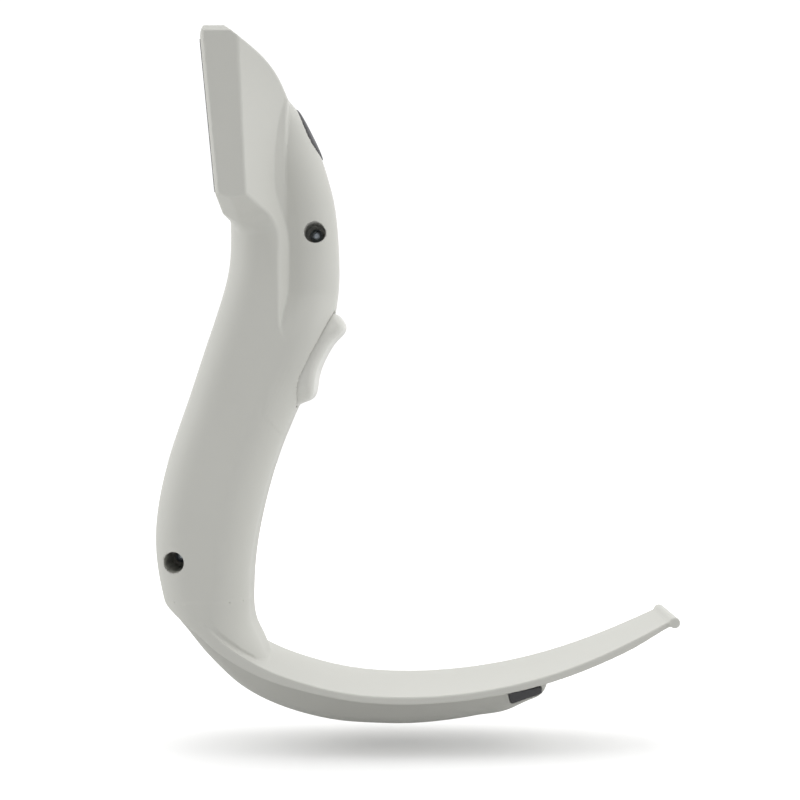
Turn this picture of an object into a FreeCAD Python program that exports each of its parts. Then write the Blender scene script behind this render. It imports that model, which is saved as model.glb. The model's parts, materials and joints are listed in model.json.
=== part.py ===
import FreeCAD, Part
import math
import os

# Handheld 3-D scanner: a slab head with a flat window, a swelling hand grip with a thumb trigger,
# and a long curved arm that ends in a small bead.  All sizes are in millimetres.
# Frame: +Z is up, -X is where the window looks, +X is where the arm reaches, Y runs across.
# The origin is the bottom centre of the whole object's box.

# Shell
WALL = 2.2
HALF_GRIP = 22.0
SECTION_POWER = 2.8
SECTION_STEPS = 28

# Grip sections: height, front, rear, half width
GRIP = [
    (20.0, -80.0, -51.5, HALF_GRIP),
    (26.0, -81.0, -55.0, HALF_GRIP),
    (32.0, -82.8, -57.2, HALF_GRIP),
    (38.0, -88.8, -59.2, HALF_GRIP),
    (46.0, -92.4, -59.5, HALF_GRIP),
    (58.0, -94.7, -58.9, HALF_GRIP),
    (70.0, -95.2, -57.4, HALF_GRIP),
    (85.0, -93.2, -53.9, HALF_GRIP),
    (100.0, -89.2, -49.2, HALF_GRIP),
    (117.0, -83.4, -41.8, HALF_GRIP),
    (136.0, -77.1, -36.5, HALF_GRIP),
    (152.0, -71.8, -38.0, HALF_GRIP),
    (166.0, -68.2, -39.5, HALF_GRIP),
    (180.0, -67.9, -41.0, HALF_GRIP),
    (192.0, -67.5, -41.0, HALF_GRIP),
]

# Spine sections, the narrower rear part: height, front, rear, half width
SPINE = [
    (112.0, -62.0, -45.5, 17.5),
    (124.0, -62.0, -38.4, 17.5),
    (138.0, -62.0, -32.6, 17.0),
    (152.0, -62.0, -28.9, 16.6),
    (172.0, -62.0, -27.9, 16.5),
    (192.0, -62.0, -30.4, 16.5),
    (205.0, -62.0, -33.7, 16.3),
    (216.0, -62.0, -39.2, 15.6),
    (226.0, -62.0, -46.4, 14.0),
]
SPINE_POWER = 2.4

# Head
HALF_HEAD = 36.0
WINDOW_TOP = (-74.1, 241.6)
WINDOW_FOOT = (-69.4, 189.2)
WINDOW_PROUD = 0.7
HEAD_TOP_FRONT = (-72.0, 245.6)
HEAD_TOP_REAR = (-64.9, 246.0)
HEAD_BACK_MIDDLE = (-54.6, 238.4)
HEAD_BACK_FOOT = (-46.7, 226.0)
HEAD_FLOOR = 179.0
BEVEL_SIDE = (-59.5, 36.0)
BEVEL_SPINE = (-45.5, 16.8)
BEVEL_FOOT = 152.0
BEVEL_FADE = 137.0
UNDERSIDE_EDGE = 185.5

# Window and optics, in the head's own frame: x is depth behind the glass, z is up the window
GLASS_SIZE = (2.0, 68.6, 52.0)
SEAL_THICK = 0.6
WINDOW_LEDGE = 2.5
FRONT_WALL = 5.0
OPTICS_PLATE = (7.0, 9.0)
OPTICS_HALF = (30.0, 22.5)
POST_RADIUS = 2.6
CAMERA_Y = 20.0
CAMERA_Z = 8.0
CAMERA_RADIUS = 6.5
PROJECTOR_RADIUS = 8.5
LED_Z = -15.0
LED_Y = (-15, -5, 5, 15)
SMALL_HEAD = 1.9
SMALL_SHANK = 0.85
SMALL_PILOT = 0.9
BOARD_DEPTH = 19.0
BOARD_THICK = 1.4
BOARD_SPAN = (-23.5, -3.5)
BOARD_POST = (15.5, -14.0)
CHIP_SIZE = 8.0
CHIP_FOOT = -13.0

# Case screws: X and Z of the two axes
CASE_SCREWS = [(-35.9, 177.9), (-85.5, 60.1)]
RECESS_RADIUS = 3.65
RECESS_FLOOR = 4.5
BOSS_RADIUS = 5.3
CASE_SCREW_HEAD = 2.6
CASE_SCREW_SHANK = 1.25
CASE_SCREW_SOCKET = 1.2
INSERT_RADIUS = 2.0

# Control pad, in its own frame: z is outward, x is down the pad
PAD_CENTRE = (-38.9, 215.4)
PAD_TILT = 63.2
PAD_SIZE = (10.0, 7.5)
PAD_DEPTH = 3.4
BUTTON_SIZE = (5.4, 4.2)
BUTTON_PROUD = 0.9
BUTTON_TRAVEL = 0.8
SWITCH_SEAT = -9.4
PLUNGER_RADIUS = 1.25

# Thumb trigger sections: height, front, rear, half width.  Its sides run on under the shells.
HALF_TRIGGER = 12.0
TRIGGER = [
    (114.6, -47.4, -43.5, HALF_TRIGGER - 1.0),
    (116.4, -47.4, -41.0, HALF_TRIGGER),
    (119.5, -46.6, -36.8, HALF_TRIGGER),
    (124.5, -44.6, -35.9, HALF_TRIGGER),
    (130.8, -42.0, -34.2, HALF_TRIGGER),
    (137.0, -39.2, -30.6, HALF_TRIGGER),
    (143.0, -35.0, -25.4, HALF_TRIGGER),
    (147.0, -34.8, -26.5, HALF_TRIGGER),
    (150.0, -34.6, -29.1, HALF_TRIGGER - 1.0),
]
TRIGGER_POWER = 4.5
TRIGGER_GAP = 0.45
TRIGGER_PIVOT = (-38.5, 146.5)
TRIGGER_SWING = 6.0
PIN_RADIUS = 1.5
PIN_CLEARANCE = 0.05
PIN_HALF = 11.0
EAR = (3.2, 8.0)
EAR_RADIUS = 3.0
SPRING_WIRE = 0.32
SPRING_COIL = 2.15
SPRING_PITCH = 0.92
SPRING_WIDTH = 4.6
SWITCH_Z = 136.0

# Arm blade: its top line in XZ, and its plan half widths
BLADE_FRONT = (-84.0, 32.7)
BLADE_SEAM = 0.1
FAR_FRONT = -110.0
BLADE_TOP = [(-68.1, 33.1), (-52.9, 22.8), (-26.5, 14.65), (0.0, 12.75), (26.7, 15.2),
             (53.5, 21.7), (80.7, 32.7), (93.5, 39.0)]
BLADE_THICK = 2.8
BLADE_PLAN = [(-70.0, 22.0), (-35.0, 22.0), (0.0, 21.5), (30.0, 20.4), (55.0, 18.6),
              (75.0, 16.2), (93.5, 13.6)]
BEAD_CENTRE = (93.5, 37.6)
BEAD_RADIUS = 1.9

# Arm rib under the blade: position, bottom, top
RIB = [
    (-79.0, 29.2, 30.6),
    (-72.0, 22.4, 31.0),
    (-62.0, 14.0, 26.5),
    (-50.0, 7.4, 19.6),
    (-34.0, 2.3, 14.4),
    (-16.0, 0.3, 11.4),
    (2.0, 0.2, 10.9),
    (20.0, 2.7, 12.3),
    (34.0, 5.9, 14.6),
    (42.0, 8.8, 16.3),
    (46.4, 12.0, 17.3),
    (48.4, 15.8, 17.8),
]
HALF_RIB = 14.5
RIB_WALL = 2.0
RIB_POWER = 3.2
ARM_SCREW_X = [-45.0, -8.0, 24.0]
ARM_SCREW_HEAD = 2.3
ARM_SCREW_SHANK = 1.05
ARM_SCREW_SUNK = 0.8
CABLE_HOLE = (-69.5, -62.5)
SPIGOT_TOP = 68.0

# Charging port, in its own frame: x runs up the arm, z is towards the blade
PORT_CENTRE = (39.9, 12.1)
PORT_TILT = -15.0
PORT_SIZE = (12.0, 3.4)
PORT_DEPTH = 1.8
CABLE_Y = 7.0
CABLE_RADIUS = 1.2
CABLE_PATH = [(33.0, 10.6), (10.0, 6.6), (-25.0, 6.6), (-52.0, 13.5), (-66.0, 28.0), (-71.5, 46.0),
              (-73.0, 63.0)]

# Battery, in its own frame: z is the cell's axis
CELL_FOOT = (-78.6, 71.5)
CELL_TILT = 14.5
CELL_RADIUS = 9.25
CELL_LENGTH = 65.0
CELL_RIB_Z = (82.0, 118.0)
TRAY_CLEARANCE = 0.1
CONTACT_RADIUS = 6.0


def vec(x, y, z):
    return FreeCAD.Vector(x, y, z)


def box(x, y, z):
    """A box from its (low, high) pairs."""
    return Part.makeBox(x[1] - x[0], y[1] - y[0], z[1] - z[0], vec(x[0], y[0], z[0]))


def rod(radius, start, end):
    """A round bar between two points."""
    axis = vec(*end) - vec(*start)
    return Part.makeCylinder(radius, axis.Length, vec(*start), axis)


def fuse(shapes):
    whole = shapes[0]
    for shape in shapes[1:]:
        whole = whole.fuse(shape)
    return whole.removeSplitter()


def mirrored(shape):
    return shape.mirror(vec(0, 0, 0), vec(0, 1, 0))


def placed(shape, centre, tilt):
    """A shape from a local frame, turned about Y and moved to (x, z)."""
    moved = shape.copy()
    moved.rotate(vec(0, 0, 0), vec(0, 1, 0), tilt)
    moved.translate(vec(centre[0], 0, centre[1]))
    return moved


def superellipse(middle, reach, half_width, power, steps, height):
    """A closed smooth loop in a horizontal plane."""
    points = []
    for step in range(steps):
        angle = 2 * math.pi * step / steps
        along, across = math.cos(angle), math.sin(angle)
        x = middle + reach * math.copysign(abs(along) ** (2 / power), along)
        y = half_width * math.copysign(abs(across) ** (2 / power), across)
        points.append(vec(x, y, height))
    curve = Part.BSplineCurve()
    curve.interpolate(Points=points, PeriodicFlag=True)
    return Part.Wire(curve.toShape())


def column(sections, inset, power=SECTION_POWER):
    """A smooth body through horizontal sections, moved inward by inset."""
    loops = []
    for height, front, rear, half_width in sections:
        middle = (front + rear) / 2
        reach = (rear - front) / 2 - inset
        loops.append(superellipse(middle, reach, half_width - inset, power, SECTION_STEPS, height))
    return Part.makeLoft(loops, True, False)


def across(edges, half_width):
    """A closed XZ outline, made solid from side to side."""
    face = Part.Face(Part.Wire(edges))
    face.translate(vec(0, -half_width, 0))
    return face.extrude(vec(0, 2 * half_width, 0))


def polygon(points, half_width):
    loop = [vec(x, 0, z) for x, z in points]
    edges = [Part.makeLine(loop[i - 1], loop[i]) for i in range(len(loop))]
    return across(edges, half_width)


# Head frame

def head_tilt():
    run = WINDOW_TOP[0] - WINDOW_FOOT[0]
    rise = WINDOW_TOP[1] - WINDOW_FOOT[1]
    return math.degrees(math.atan2(run, rise))


def in_head(shape):
    """A shape from the window's frame, put in the head."""
    centre = [(top + foot) / 2 for top, foot in zip(WINDOW_TOP, WINDOW_FOOT)]
    return placed(shape, centre, head_tilt())


# Outer form

def head(inset):
    """The head block, with its arched back, rear bevels and sloping underside."""
    front_top = vec(WINDOW_TOP[0] + WINDOW_PROUD + inset, 0, WINDOW_TOP[1])
    front_foot = vec(WINDOW_FOOT[0] + WINDOW_PROUD + inset, 0, WINDOW_FOOT[1] + inset / 2)
    chin = vec(GRIP[-2][1] + inset, 0, HEAD_FLOOR + inset)
    floor = vec(BEVEL_SPINE[0] - inset, 0, HEAD_FLOOR + inset)
    back_foot = vec(HEAD_BACK_FOOT[0] - inset, 0, HEAD_BACK_FOOT[1])
    back_middle = vec(HEAD_BACK_MIDDLE[0] - inset * 0.75, 0, HEAD_BACK_MIDDLE[1] - inset * 0.66)
    top_rear = vec(HEAD_TOP_REAR[0] - inset * 0.3, 0, HEAD_TOP_REAR[1] - inset)
    top_front = vec(HEAD_TOP_FRONT[0] + inset, 0, HEAD_TOP_FRONT[1] - inset)
    arch = Part.Arc(back_foot, back_middle, top_rear).toShape()
    corners = [top_rear, top_front, front_top, front_foot, chin, floor, back_foot]
    lines = [Part.makeLine(corners[i], corners[i + 1]) for i in range(len(corners) - 1)]
    block = across(lines + [arch], HALF_HEAD - inset)
    for cutter in (rear_bevel(inset), underside_bevel(inset)):
        block = block.cut(cutter).cut(mirrored(cutter))
    return block


def rear_bevel(inset):
    """What lies behind the slanting rear face on the +Y side; it fades out down the grip."""
    run = BEVEL_SPINE[0] - BEVEL_SIDE[0]
    drop = BEVEL_SIDE[1] - BEVEL_SPINE[1]
    shift_x = -inset * drop / math.hypot(run, drop)
    shift_y = -inset * run / math.hypot(run, drop)
    near = (BEVEL_SIDE[0] - run + shift_x, BEVEL_SIDE[1] + drop + shift_y)
    far = (BEVEL_SPINE[0] + run + shift_x, BEVEL_SPINE[1] - drop + shift_y)
    corners = [vec(near[0], near[1], BEVEL_FOOT), vec(far[0], far[1], BEVEL_FOOT),
               vec(far[0], near[1], BEVEL_FOOT)]
    loop = Part.makePolygon(corners + corners[:1])
    upper = Part.Face(loop).extrude(vec(0, 0, 2 * HALF_HEAD + 30))
    tip = vec(BEVEL_SPINE[0] + 2, HALF_GRIP + 4, BEVEL_FADE)
    lower = Part.makeLoft([Part.Vertex(tip), loop], True, True)
    return upper.fuse(lower)


def underside_bevel(inset):
    """What lies under the sloping underside on the +Y side."""
    depth = (WINDOW_FOOT[0] - 10, -30)
    profile = [vec(depth[0], HALF_GRIP, HEAD_FLOOR + inset - 0.5),
               vec(depth[0], HALF_HEAD, UNDERSIDE_EDGE + inset),
               vec(depth[0], HALF_HEAD + 5, UNDERSIDE_EDGE + inset),
               vec(depth[0], HALF_HEAD + 5, HEAD_FLOOR - 10),
               vec(depth[0], HALF_GRIP, HEAD_FLOOR - 10)]
    face = Part.Face(Part.makePolygon(profile + profile[:1]))
    return face.extrude(vec(depth[1] - depth[0], 0, 0))


def grip(inset):
    body = column(GRIP, inset)
    cutter = rear_bevel(inset)
    return body.cut(cutter).cut(mirrored(cutter))


def casing(inset):
    """The whole hand-held body as one solid."""
    return grip(inset).fuse([column(SPINE, inset, SPINE_POWER), head(inset)])


# Arm

def blade_top():
    curve = Part.BSplineCurve()
    curve.interpolate(Points=[vec(x, 0, z) for x, z in BLADE_TOP])
    return curve


def below_blade_top(depth):
    """Everything under the blade's top line, down to the given height."""
    curve = blade_top()
    start, end = curve.value(curve.FirstParameter), curve.value(curve.LastParameter)
    front = vec(FAR_FRONT, 0, BLADE_FRONT[1] - BLADE_SEAM)
    corners = [end, vec(end.x, 0, depth), vec(front.x, 0, depth), front, start]
    edges = [Part.makeLine(corners[i], corners[i + 1]) for i in range(len(corners) - 1)]
    return across([curve.toShape()] + edges, HALF_HEAD + 5)


def blade_plan():
    """The arm's plan outline as a tall solid."""
    side = Part.BSplineCurve()
    side.interpolate(Points=[vec(x, y, -5) for x, y in BLADE_PLAN])
    far = Part.BSplineCurve()
    far.interpolate(Points=[vec(x, -y, -5) for x, y in BLADE_PLAN])
    root_x, root_y = BLADE_PLAN[0]
    tip_x, tip_y = BLADE_PLAN[-1]
    edges = [side.toShape(), Part.makeLine(vec(tip_x, tip_y, -5), vec(tip_x, -tip_y, -5)),
             far.toShape(), Part.makeLine(vec(root_x, -root_y, -5), vec(root_x, root_y, -5))]
    return Part.Face(Part.Wire(Part.__sortEdges__(edges))).extrude(vec(0, 0, 60))


def blade_sheet():
    """The blade alone: an even sheet under the top line."""
    curve = blade_top()
    count = len(BLADE_TOP) * 2
    span = curve.LastParameter - curve.FirstParameter
    under = []
    for step in range(count + 1):
        place = curve.FirstParameter + span * step / count
        tangent = curve.tangent(place)[0]
        down = vec(tangent.z, 0, -tangent.x)
        under.append(curve.value(place) + down * BLADE_THICK)
    lower = Part.BSplineCurve()
    lower.interpolate(Points=under)
    front = vec(BLADE_FRONT[0], 0, BLADE_FRONT[1] - BLADE_SEAM)
    front_under = front - vec(0, 0, BLADE_THICK)
    start, end = curve.value(curve.FirstParameter), curve.value(curve.LastParameter)
    edges = [curve.toShape(), Part.makeLine(end, under[-1]), lower.toShape(),
             Part.makeLine(under[0], front_under), Part.makeLine(front_under, front),
             Part.makeLine(front, start)]
    return across(Part.__sortEdges__(edges), HALF_GRIP + 3)


def arm_blade():
    sheet = blade_sheet()
    root = sheet.common(column(GRIP, 0)).common(box((-100, BLADE_PLAN[0][0]), (-30, 30), (15, 40)))
    reach = sheet.common(blade_plan())
    bead = rod(BEAD_RADIUS, (BEAD_CENTRE[0], -BLADE_PLAN[-1][1], BEAD_CENTRE[1]),
               (BEAD_CENTRE[0], BLADE_PLAN[-1][1], BEAD_CENTRE[1]))
    spigot = column(GRIP, WALL + 0.3).cut(column(GRIP, WALL + 2.3))
    spigot = spigot.common(box((-100, -50), (-30, 30), (21, SPIGOT_TOP))).cut(below_blade_top(15))
    screw_x, screw_z = CASE_SCREWS[1]
    keyhole = rod(BOSS_RADIUS + 0.2, (screw_x, -30, screw_z), (screw_x, 30, screw_z))
    cable_hole = box(CABLE_HOLE, (-9.5, 9.5), (15, 36))
    bosses = [screw_boss(x) for x in ARM_SCREW_X]
    blade = fuse([root, reach, bead, spigot.cut(keyhole)] + bosses)
    blade = blade.cut(cable_hole)
    for x in ARM_SCREW_X:
        blade = blade.cut(rod(1.1, (x, 0, 0), (x, 0, blade_height(x) - 1.2)))
    return blade


def blade_height(x):
    """The height of the blade's top line at x."""
    wall = Part.makeLine(vec(x, 0, -50), vec(x, 0, 80))
    section = blade_top().toShape().distToShape(wall)
    return section[1][0][0].z


def rib_floor(x):
    """The height of the rib's bottom line at x."""
    for before, after in zip(RIB, RIB[1:]):
        if before[0] <= x <= after[0]:
            share = (x - before[0]) / (after[0] - before[0])
            return before[1] + share * (after[1] - before[1])
    return RIB[0][1]


def screw_boss(x):
    """A screw post that hangs from the blade inside the rib."""
    top = blade_height(x) - 1.0
    return rod(3.0, (x, 0, rib_floor(x) + RIB_WALL + 1.0), (x, 0, top))


def channel(sections, half_width, raise_floor, raise_top):
    """A smooth U-bottomed bar through cross-sections along X."""
    loops = []
    steps = 16
    for x, bottom, top in sections:
        depth = top + raise_top - bottom - raise_floor
        points = []
        for step in range(steps + 1):
            angle = math.pi * step / steps
            swing = math.cos(angle)
            y = half_width * math.copysign(abs(swing) ** (2 / RIB_POWER), swing)
            z = top + raise_top - depth * abs(math.sin(angle)) ** (2 / RIB_POWER)
            points.append(vec(x, y, z))
        curve = Part.BSplineCurve()
        curve.interpolate(Points=points)
        loops.append(Part.Wire([curve.toShape(), Part.makeLine(points[-1], points[0])]))
    return Part.makeLoft(loops, True, False)


def arm_rib():
    outer = channel(RIB, HALF_RIB, 0, 0)
    hollow = channel(RIB[1:-1], HALF_RIB - RIB_WALL, RIB_WALL, 1.5)
    rib = outer.cut(hollow).cut(blade_sheet())
    recess_x, recess_z = PORT_SIZE[0] / 2, PORT_SIZE[1] / 2
    recess = box((-recess_x, recess_x), (-HALF_RIB - 5, -HALF_RIB + PORT_DEPTH), (-recess_z, recess_z))
    opening = box((-4.7, 4.7), (-HALF_RIB - 5, -5), (-1.75, 1.75))
    rib = rib.cut(in_port(recess)).cut(in_port(opening))
    for x in ARM_SCREW_X:
        floor = rib_floor(x)
        rib = rib.cut(rod(1.4, (x, 0, floor - 3), (x, 0, floor + 5)))
        rib = rib.cut(rod(ARM_SCREW_HEAD + 0.3, (x, 0, floor - 3), (x, 0, floor + ARM_SCREW_SUNK)))
    return largest(rib)


def largest(shape):
    """The main solid of a cut, without its slivers."""
    return max(shape.Solids, key=lambda solid: solid.Volume)


def arm_screws():
    screws = []
    for x in ARM_SCREW_X:
        floor = rib_floor(x)
        head_part = rod(ARM_SCREW_HEAD, (x, 0, floor + 0.05), (x, 0, floor + 0.75))
        shank = rod(ARM_SCREW_SHANK, (x, 0, floor + 0.7), (x, 0, floor + 6.5))
        screws.append(head_part.fuse(shank).cut(rod(0.8, (x, 0, floor - 1), (x, 0, floor + 0.4))))
    return Part.makeCompound(screws)


# Port pieces

def in_port(shape):
    return placed(shape, PORT_CENTRE, PORT_TILT)


def port_plug():
    half_x, half_z = PORT_SIZE[0] / 2 - 0.1, PORT_SIZE[1] / 2 - 0.1
    face = box((-half_x, half_x), (-HALF_RIB - 0.1, -HALF_RIB + PORT_DEPTH - 0.1), (-half_z, half_z))
    tongue = box((-4.0, 4.0), (-HALF_RIB + PORT_DEPTH - 0.2, -HALF_RIB + 5.2), (-1.15, 1.15))
    slot = box((-3.5, 3.5), (-HALF_RIB + 2.4, -HALF_RIB + 6), (-0.5, 0.5))
    return in_port(face.fuse(tongue).cut(slot))


def port_socket():
    can = box((-4.5, 4.5), (-HALF_RIB + 2.2, -HALF_RIB + 9.5), (-1.6, 1.6))
    mouth = box((-4.15, 4.15), (-HALF_RIB + 2, -HALF_RIB + 8.6), (-1.3, 1.3))
    blade = box((-3.3, 3.3), (-HALF_RIB + 3.4, -HALF_RIB + 9), (-0.33, 0.33))
    return in_port(can.cut(mouth).fuse(blade))


def port_board():
    board = box((-6.0, 5.0), (-HALF_RIB + 2.6, 9.0), (1.65, 2.45))
    board = in_port(board)
    return board.cut(rod(3.2, (ARM_SCREW_X[2], 0, 0), (ARM_SCREW_X[2], 0, 30)))


def port_cable():
    """A round cable from the port board through the arm's root to the battery's foot."""
    path = Part.BSplineCurve()
    path.interpolate(Points=[vec(x, CABLE_Y, z) for x, z in CABLE_PATH])
    wire = Part.Wire(path.toShape())
    start = path.value(path.FirstParameter)
    ring = Part.Wire(Part.makeCircle(CABLE_RADIUS, start, path.tangent(path.FirstParameter)[0]))
    return wire.makePipeShell([ring], True, True)


# Casing shells

def case_boss(screw, side):
    """A screw boss on one side: a recessed tube on -Y, an insert post on +Y."""
    x, z = screw
    return rod(BOSS_RADIUS, (x, 0, z), (x, side * (HALF_GRIP + 2), z))


def in_pad(shape):
    return placed(shape, PAD_CENTRE, PAD_TILT)


def oval(size, low, high):
    """An upright oval block in the pad's frame."""
    loop = superellipse(0, size[0], size[1], 2.3, SECTION_STEPS, low)
    return Part.Face(loop).extrude(vec(0, 0, high - low))


def pad_seat(outer):
    seat = oval((PAD_SIZE[0] + 2.0, PAD_SIZE[1] + 2.0), -PAD_DEPTH - 2.0, 3)
    return in_pad(seat).common(outer)


def window_cutters():
    """The rebate for the glass and its seal, and the opening behind them."""
    depth, width, height = GLASS_SIZE
    half_y, half_z = width / 2 + 0.15, height / 2 + 0.15
    rebate = box((-3, depth + SEAL_THICK), (-half_y, half_y), (-half_z, half_z))
    half_y, half_z = width / 2 - WINDOW_LEDGE, height / 2 - WINDOW_LEDGE
    opening = box((-3, FRONT_WALL + 1), (-half_y, half_y), (-half_z, half_z))
    return in_head(rebate.fuse(opening))


def trigger_cutter():
    """The room the trigger needs between rest and fully pressed."""
    fronts = [(front - TRIGGER_GAP, height) for height, front, rear, half_width in TRIGGER]
    rears = [(rear + 3, height) for height, front, rear, half_width in reversed(TRIGGER)]
    top, bottom = TRIGGER[-1][0] + TRIGGER_GAP, TRIGGER[0][0] - TRIGGER_GAP
    outline = [(fronts[0][0], bottom)] + fronts[1:-1] + [(fronts[-1][0], top), (rears[0][0], top)]
    room = polygon(outline + rears[1:-1] + [(rears[-1][0], bottom)], HALF_TRIGGER + TRIGGER_GAP)
    pivot = vec(TRIGGER_PIVOT[0], 0, TRIGGER_PIVOT[1])
    pressed = room.copy()
    pressed.rotate(pivot, vec(0, 1, 0), TRIGGER_SWING)
    halfway = room.copy()
    halfway.rotate(pivot, vec(0, 1, 0), TRIGGER_SWING / 2)
    return room.fuse([halfway, pressed])


def pin_bosses():
    x, z = TRIGGER_PIVOT
    boss = rod(EAR_RADIUS, (x, EAR[1] + 0.6, z), (x, 16, z))
    return boss.fuse(mirrored(boss))


def cell_ribs():
    """Plates that hold the battery tray between the shells."""
    plates = [box((-91, -52), (-21, 21), (z, z + 1.6)) for z in CELL_RIB_Z]
    keep_out = in_cell(box((-12.2, 14), (-11.6, 11.6), (-6, CELL_LENGTH + 8)))
    return [plate.cut(keep_out) for plate in plates]


def post_places():
    """The Y and Z of the four posts behind the window, in the head's frame."""
    y, z = OPTICS_HALF[0] - 3, OPTICS_HALF[1] - 2
    return [(side * y, level * z) for side in (-1, 1) for level in (-1, 1)]


def optics_posts():
    """The posts that carry the optics frame."""
    start, end = FRONT_WALL - 2, OPTICS_PLATE[0]
    return [in_head(rod(POST_RADIUS, (start, y, z), (end, y, z))) for y, z in post_places()]


def shells():
    outer = casing(0)
    front_wall = in_head(box((-5, FRONT_WALL), (-40, 40), (-40, 40)))
    cavity = casing(WALL).cut(front_wall)
    inside = [case_boss(screw, side) for screw in CASE_SCREWS for side in (-1, 1)]
    inside += [pin_bosses(), pad_seat(outer)] + cell_ribs() + optics_posts()
    body = outer.cut(cavity)
    body = body.fuse([piece.common(outer) for piece in inside])
    body = body.cut(below_blade_top(0)).cut(window_cutters()).cut(trigger_cutter())
    body = body.cut([in_pad(oval((PAD_SIZE[0] + 0.1, PAD_SIZE[1] + 0.1), -PAD_DEPTH, 6)),
                     in_pad(rod(3.6, (0, 0, -12), (0, 0, 6)))])
    x, z = TRIGGER_PIVOT
    body = body.cut(rod(PIN_RADIUS + PIN_CLEARANCE, (x, -PIN_HALF - 0.2, z), (x, PIN_HALF + 0.2, z)))
    for y, z in post_places():
        body = body.cut(in_head(rod(SMALL_PILOT, (3.4, y, z), (OPTICS_PLATE[1], y, z))))
    left = body.common(box((-110, 0), (-50, 0), (-10, 260)))
    right = body.common(box((-110, 0), (0, 50), (-10, 260)))
    for screw_x, screw_z in CASE_SCREWS:
        recess = rod(RECESS_RADIUS, (screw_x, -40, screw_z), (screw_x, -RECESS_FLOOR, screw_z))
        left = left.cut(recess.fuse(rod(1.6, (screw_x, -40, screw_z), (screw_x, 1, screw_z))))
        right = right.cut(rod(INSERT_RADIUS, (screw_x, -1, screw_z), (screw_x, 8.4, screw_z)))
    return largest(left), largest(right)


def case_screws():
    screws = []
    for x, z in CASE_SCREWS:
        head_part = rod(CASE_SCREW_HEAD, (x, -RECESS_FLOOR - 2.2, z), (x, -RECESS_FLOOR, z))
        shank = rod(CASE_SCREW_SHANK, (x, -RECESS_FLOOR - 0.1, z), (x, 6.5, z))
        socket = rod(CASE_SCREW_SOCKET, (x, -RECESS_FLOOR - 3, z), (x, -RECESS_FLOOR - 1.0, z))
        screws.append(head_part.fuse(shank).cut(socket))
    return Part.makeCompound(screws)


def case_inserts():
    inserts = []
    for x, z in CASE_SCREWS:
        sleeve = rod(INSERT_RADIUS, (x, 0.4, z), (x, 7.6, z))
        inserts.append(sleeve.cut(rod(CASE_SCREW_SHANK + 0.05, (x, 0, z), (x, 8, z))))
    return Part.makeCompound(inserts)


# Window and optics

def front_window():
    depth, width, height = GLASS_SIZE
    return in_head(box((0, depth), (-width / 2, width / 2), (-height / 2, height / 2)))


def window_seal():
    depth, width, height = GLASS_SIZE
    outer = box((depth, depth + SEAL_THICK), (-width / 2, width / 2), (-height / 2, height / 2))
    half_y, half_z = width / 2 - WINDOW_LEDGE, height / 2 - WINDOW_LEDGE
    return in_head(outer.cut(box((0, 9), (-half_y, half_y), (-half_z, half_z))))


def optics_frame():
    low, high = OPTICS_PLATE
    half_y, half_z = OPTICS_HALF
    plate = box((low, high), (-half_y, half_y), (-half_z, half_z))
    post_y, post_z = BOARD_POST
    for side in (-1, 1):
        y = side * CAMERA_Y
        plate = plate.cut(rod(CAMERA_RADIUS + 0.1, (low - 1, y, CAMERA_Z), (high + 1, y, CAMERA_Z)))
        y = side * post_y
        plate = plate.fuse(rod(2.2, (high, y, post_z), (BOARD_DEPTH, y, post_z)))
        plate = plate.cut(rod(SMALL_PILOT, (BOARD_DEPTH - 6, y, post_z), (BOARD_DEPTH + 1, y, post_z)))
    plate = plate.cut(rod(PROJECTOR_RADIUS + 0.1, (low - 1, 0, CAMERA_Z - 2), (high + 1, 0, CAMERA_Z - 2)))
    for y, z in post_places():
        plate = plate.cut(rod(1.2, (low - 1, y, z), (high + 1, y, z)))
    return in_head(plate)


def optics_screws():
    screws = []
    for y, z in post_places():
        head_part = rod(SMALL_HEAD, (OPTICS_PLATE[1], y, z), (OPTICS_PLATE[1] + 1.4, y, z))
        shank = rod(SMALL_SHANK, (3.6, y, z), (OPTICS_PLATE[1] + 0.5, y, z))
        screws.append(in_head(head_part.fuse(shank)))
    return Part.makeCompound(screws)


def camera(y):
    barrel = rod(CAMERA_RADIUS, (5.2, y, CAMERA_Z), (OPTICS_PLATE[1] + 1, y, CAMERA_Z))
    throat = rod(CAMERA_RADIUS - 1.2, (5, y, CAMERA_Z), (8.0, y, CAMERA_Z))
    back = box((OPTICS_PLATE[1] + 0.05, 15.5), (y - 7.5, y + 7.5), (CAMERA_Z - 7.5, CAMERA_Z + 7.5))
    return in_head(barrel.fuse(back).cut(throat))


def lens(radius, y, z, depth, thick):
    """A plano-convex lens whose round side looks forward."""
    crown = vec(depth - thick, y, z)
    shoulder = vec(depth - thick * 0.75, y, z + radius * 0.55)
    rim = vec(depth - thick * 0.2, y, z + radius)
    edge, middle = vec(depth, y, z + radius), vec(depth, y, z)
    outline = [Part.Arc(crown, shoulder, rim).toShape(), Part.makeLine(rim, edge),
               Part.makeLine(edge, middle), Part.makeLine(middle, crown)]
    half = Part.Face(Part.Wire(outline))
    return in_head(half.revolve(crown, vec(1, 0, 0), 360))


def camera_lenses():
    pair = [lens(CAMERA_RADIUS - 1.3, y, CAMERA_Z, 7.9, 1.8) for y in (-CAMERA_Y, CAMERA_Y)]
    return Part.makeCompound(pair)


def projector_body():
    z = CAMERA_Z - 2
    barrel = rod(PROJECTOR_RADIUS, (5.2, 0, z), (OPTICS_PLATE[1] + 1, 0, z))
    throat = rod(PROJECTOR_RADIUS - 1.2, (5, 0, z), (8.4, 0, z))
    back = box((OPTICS_PLATE[1] + 0.05, 17.5), (-10, 10), (z - 10, z + 10))
    return in_head(barrel.fuse(back).cut(throat))


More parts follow.
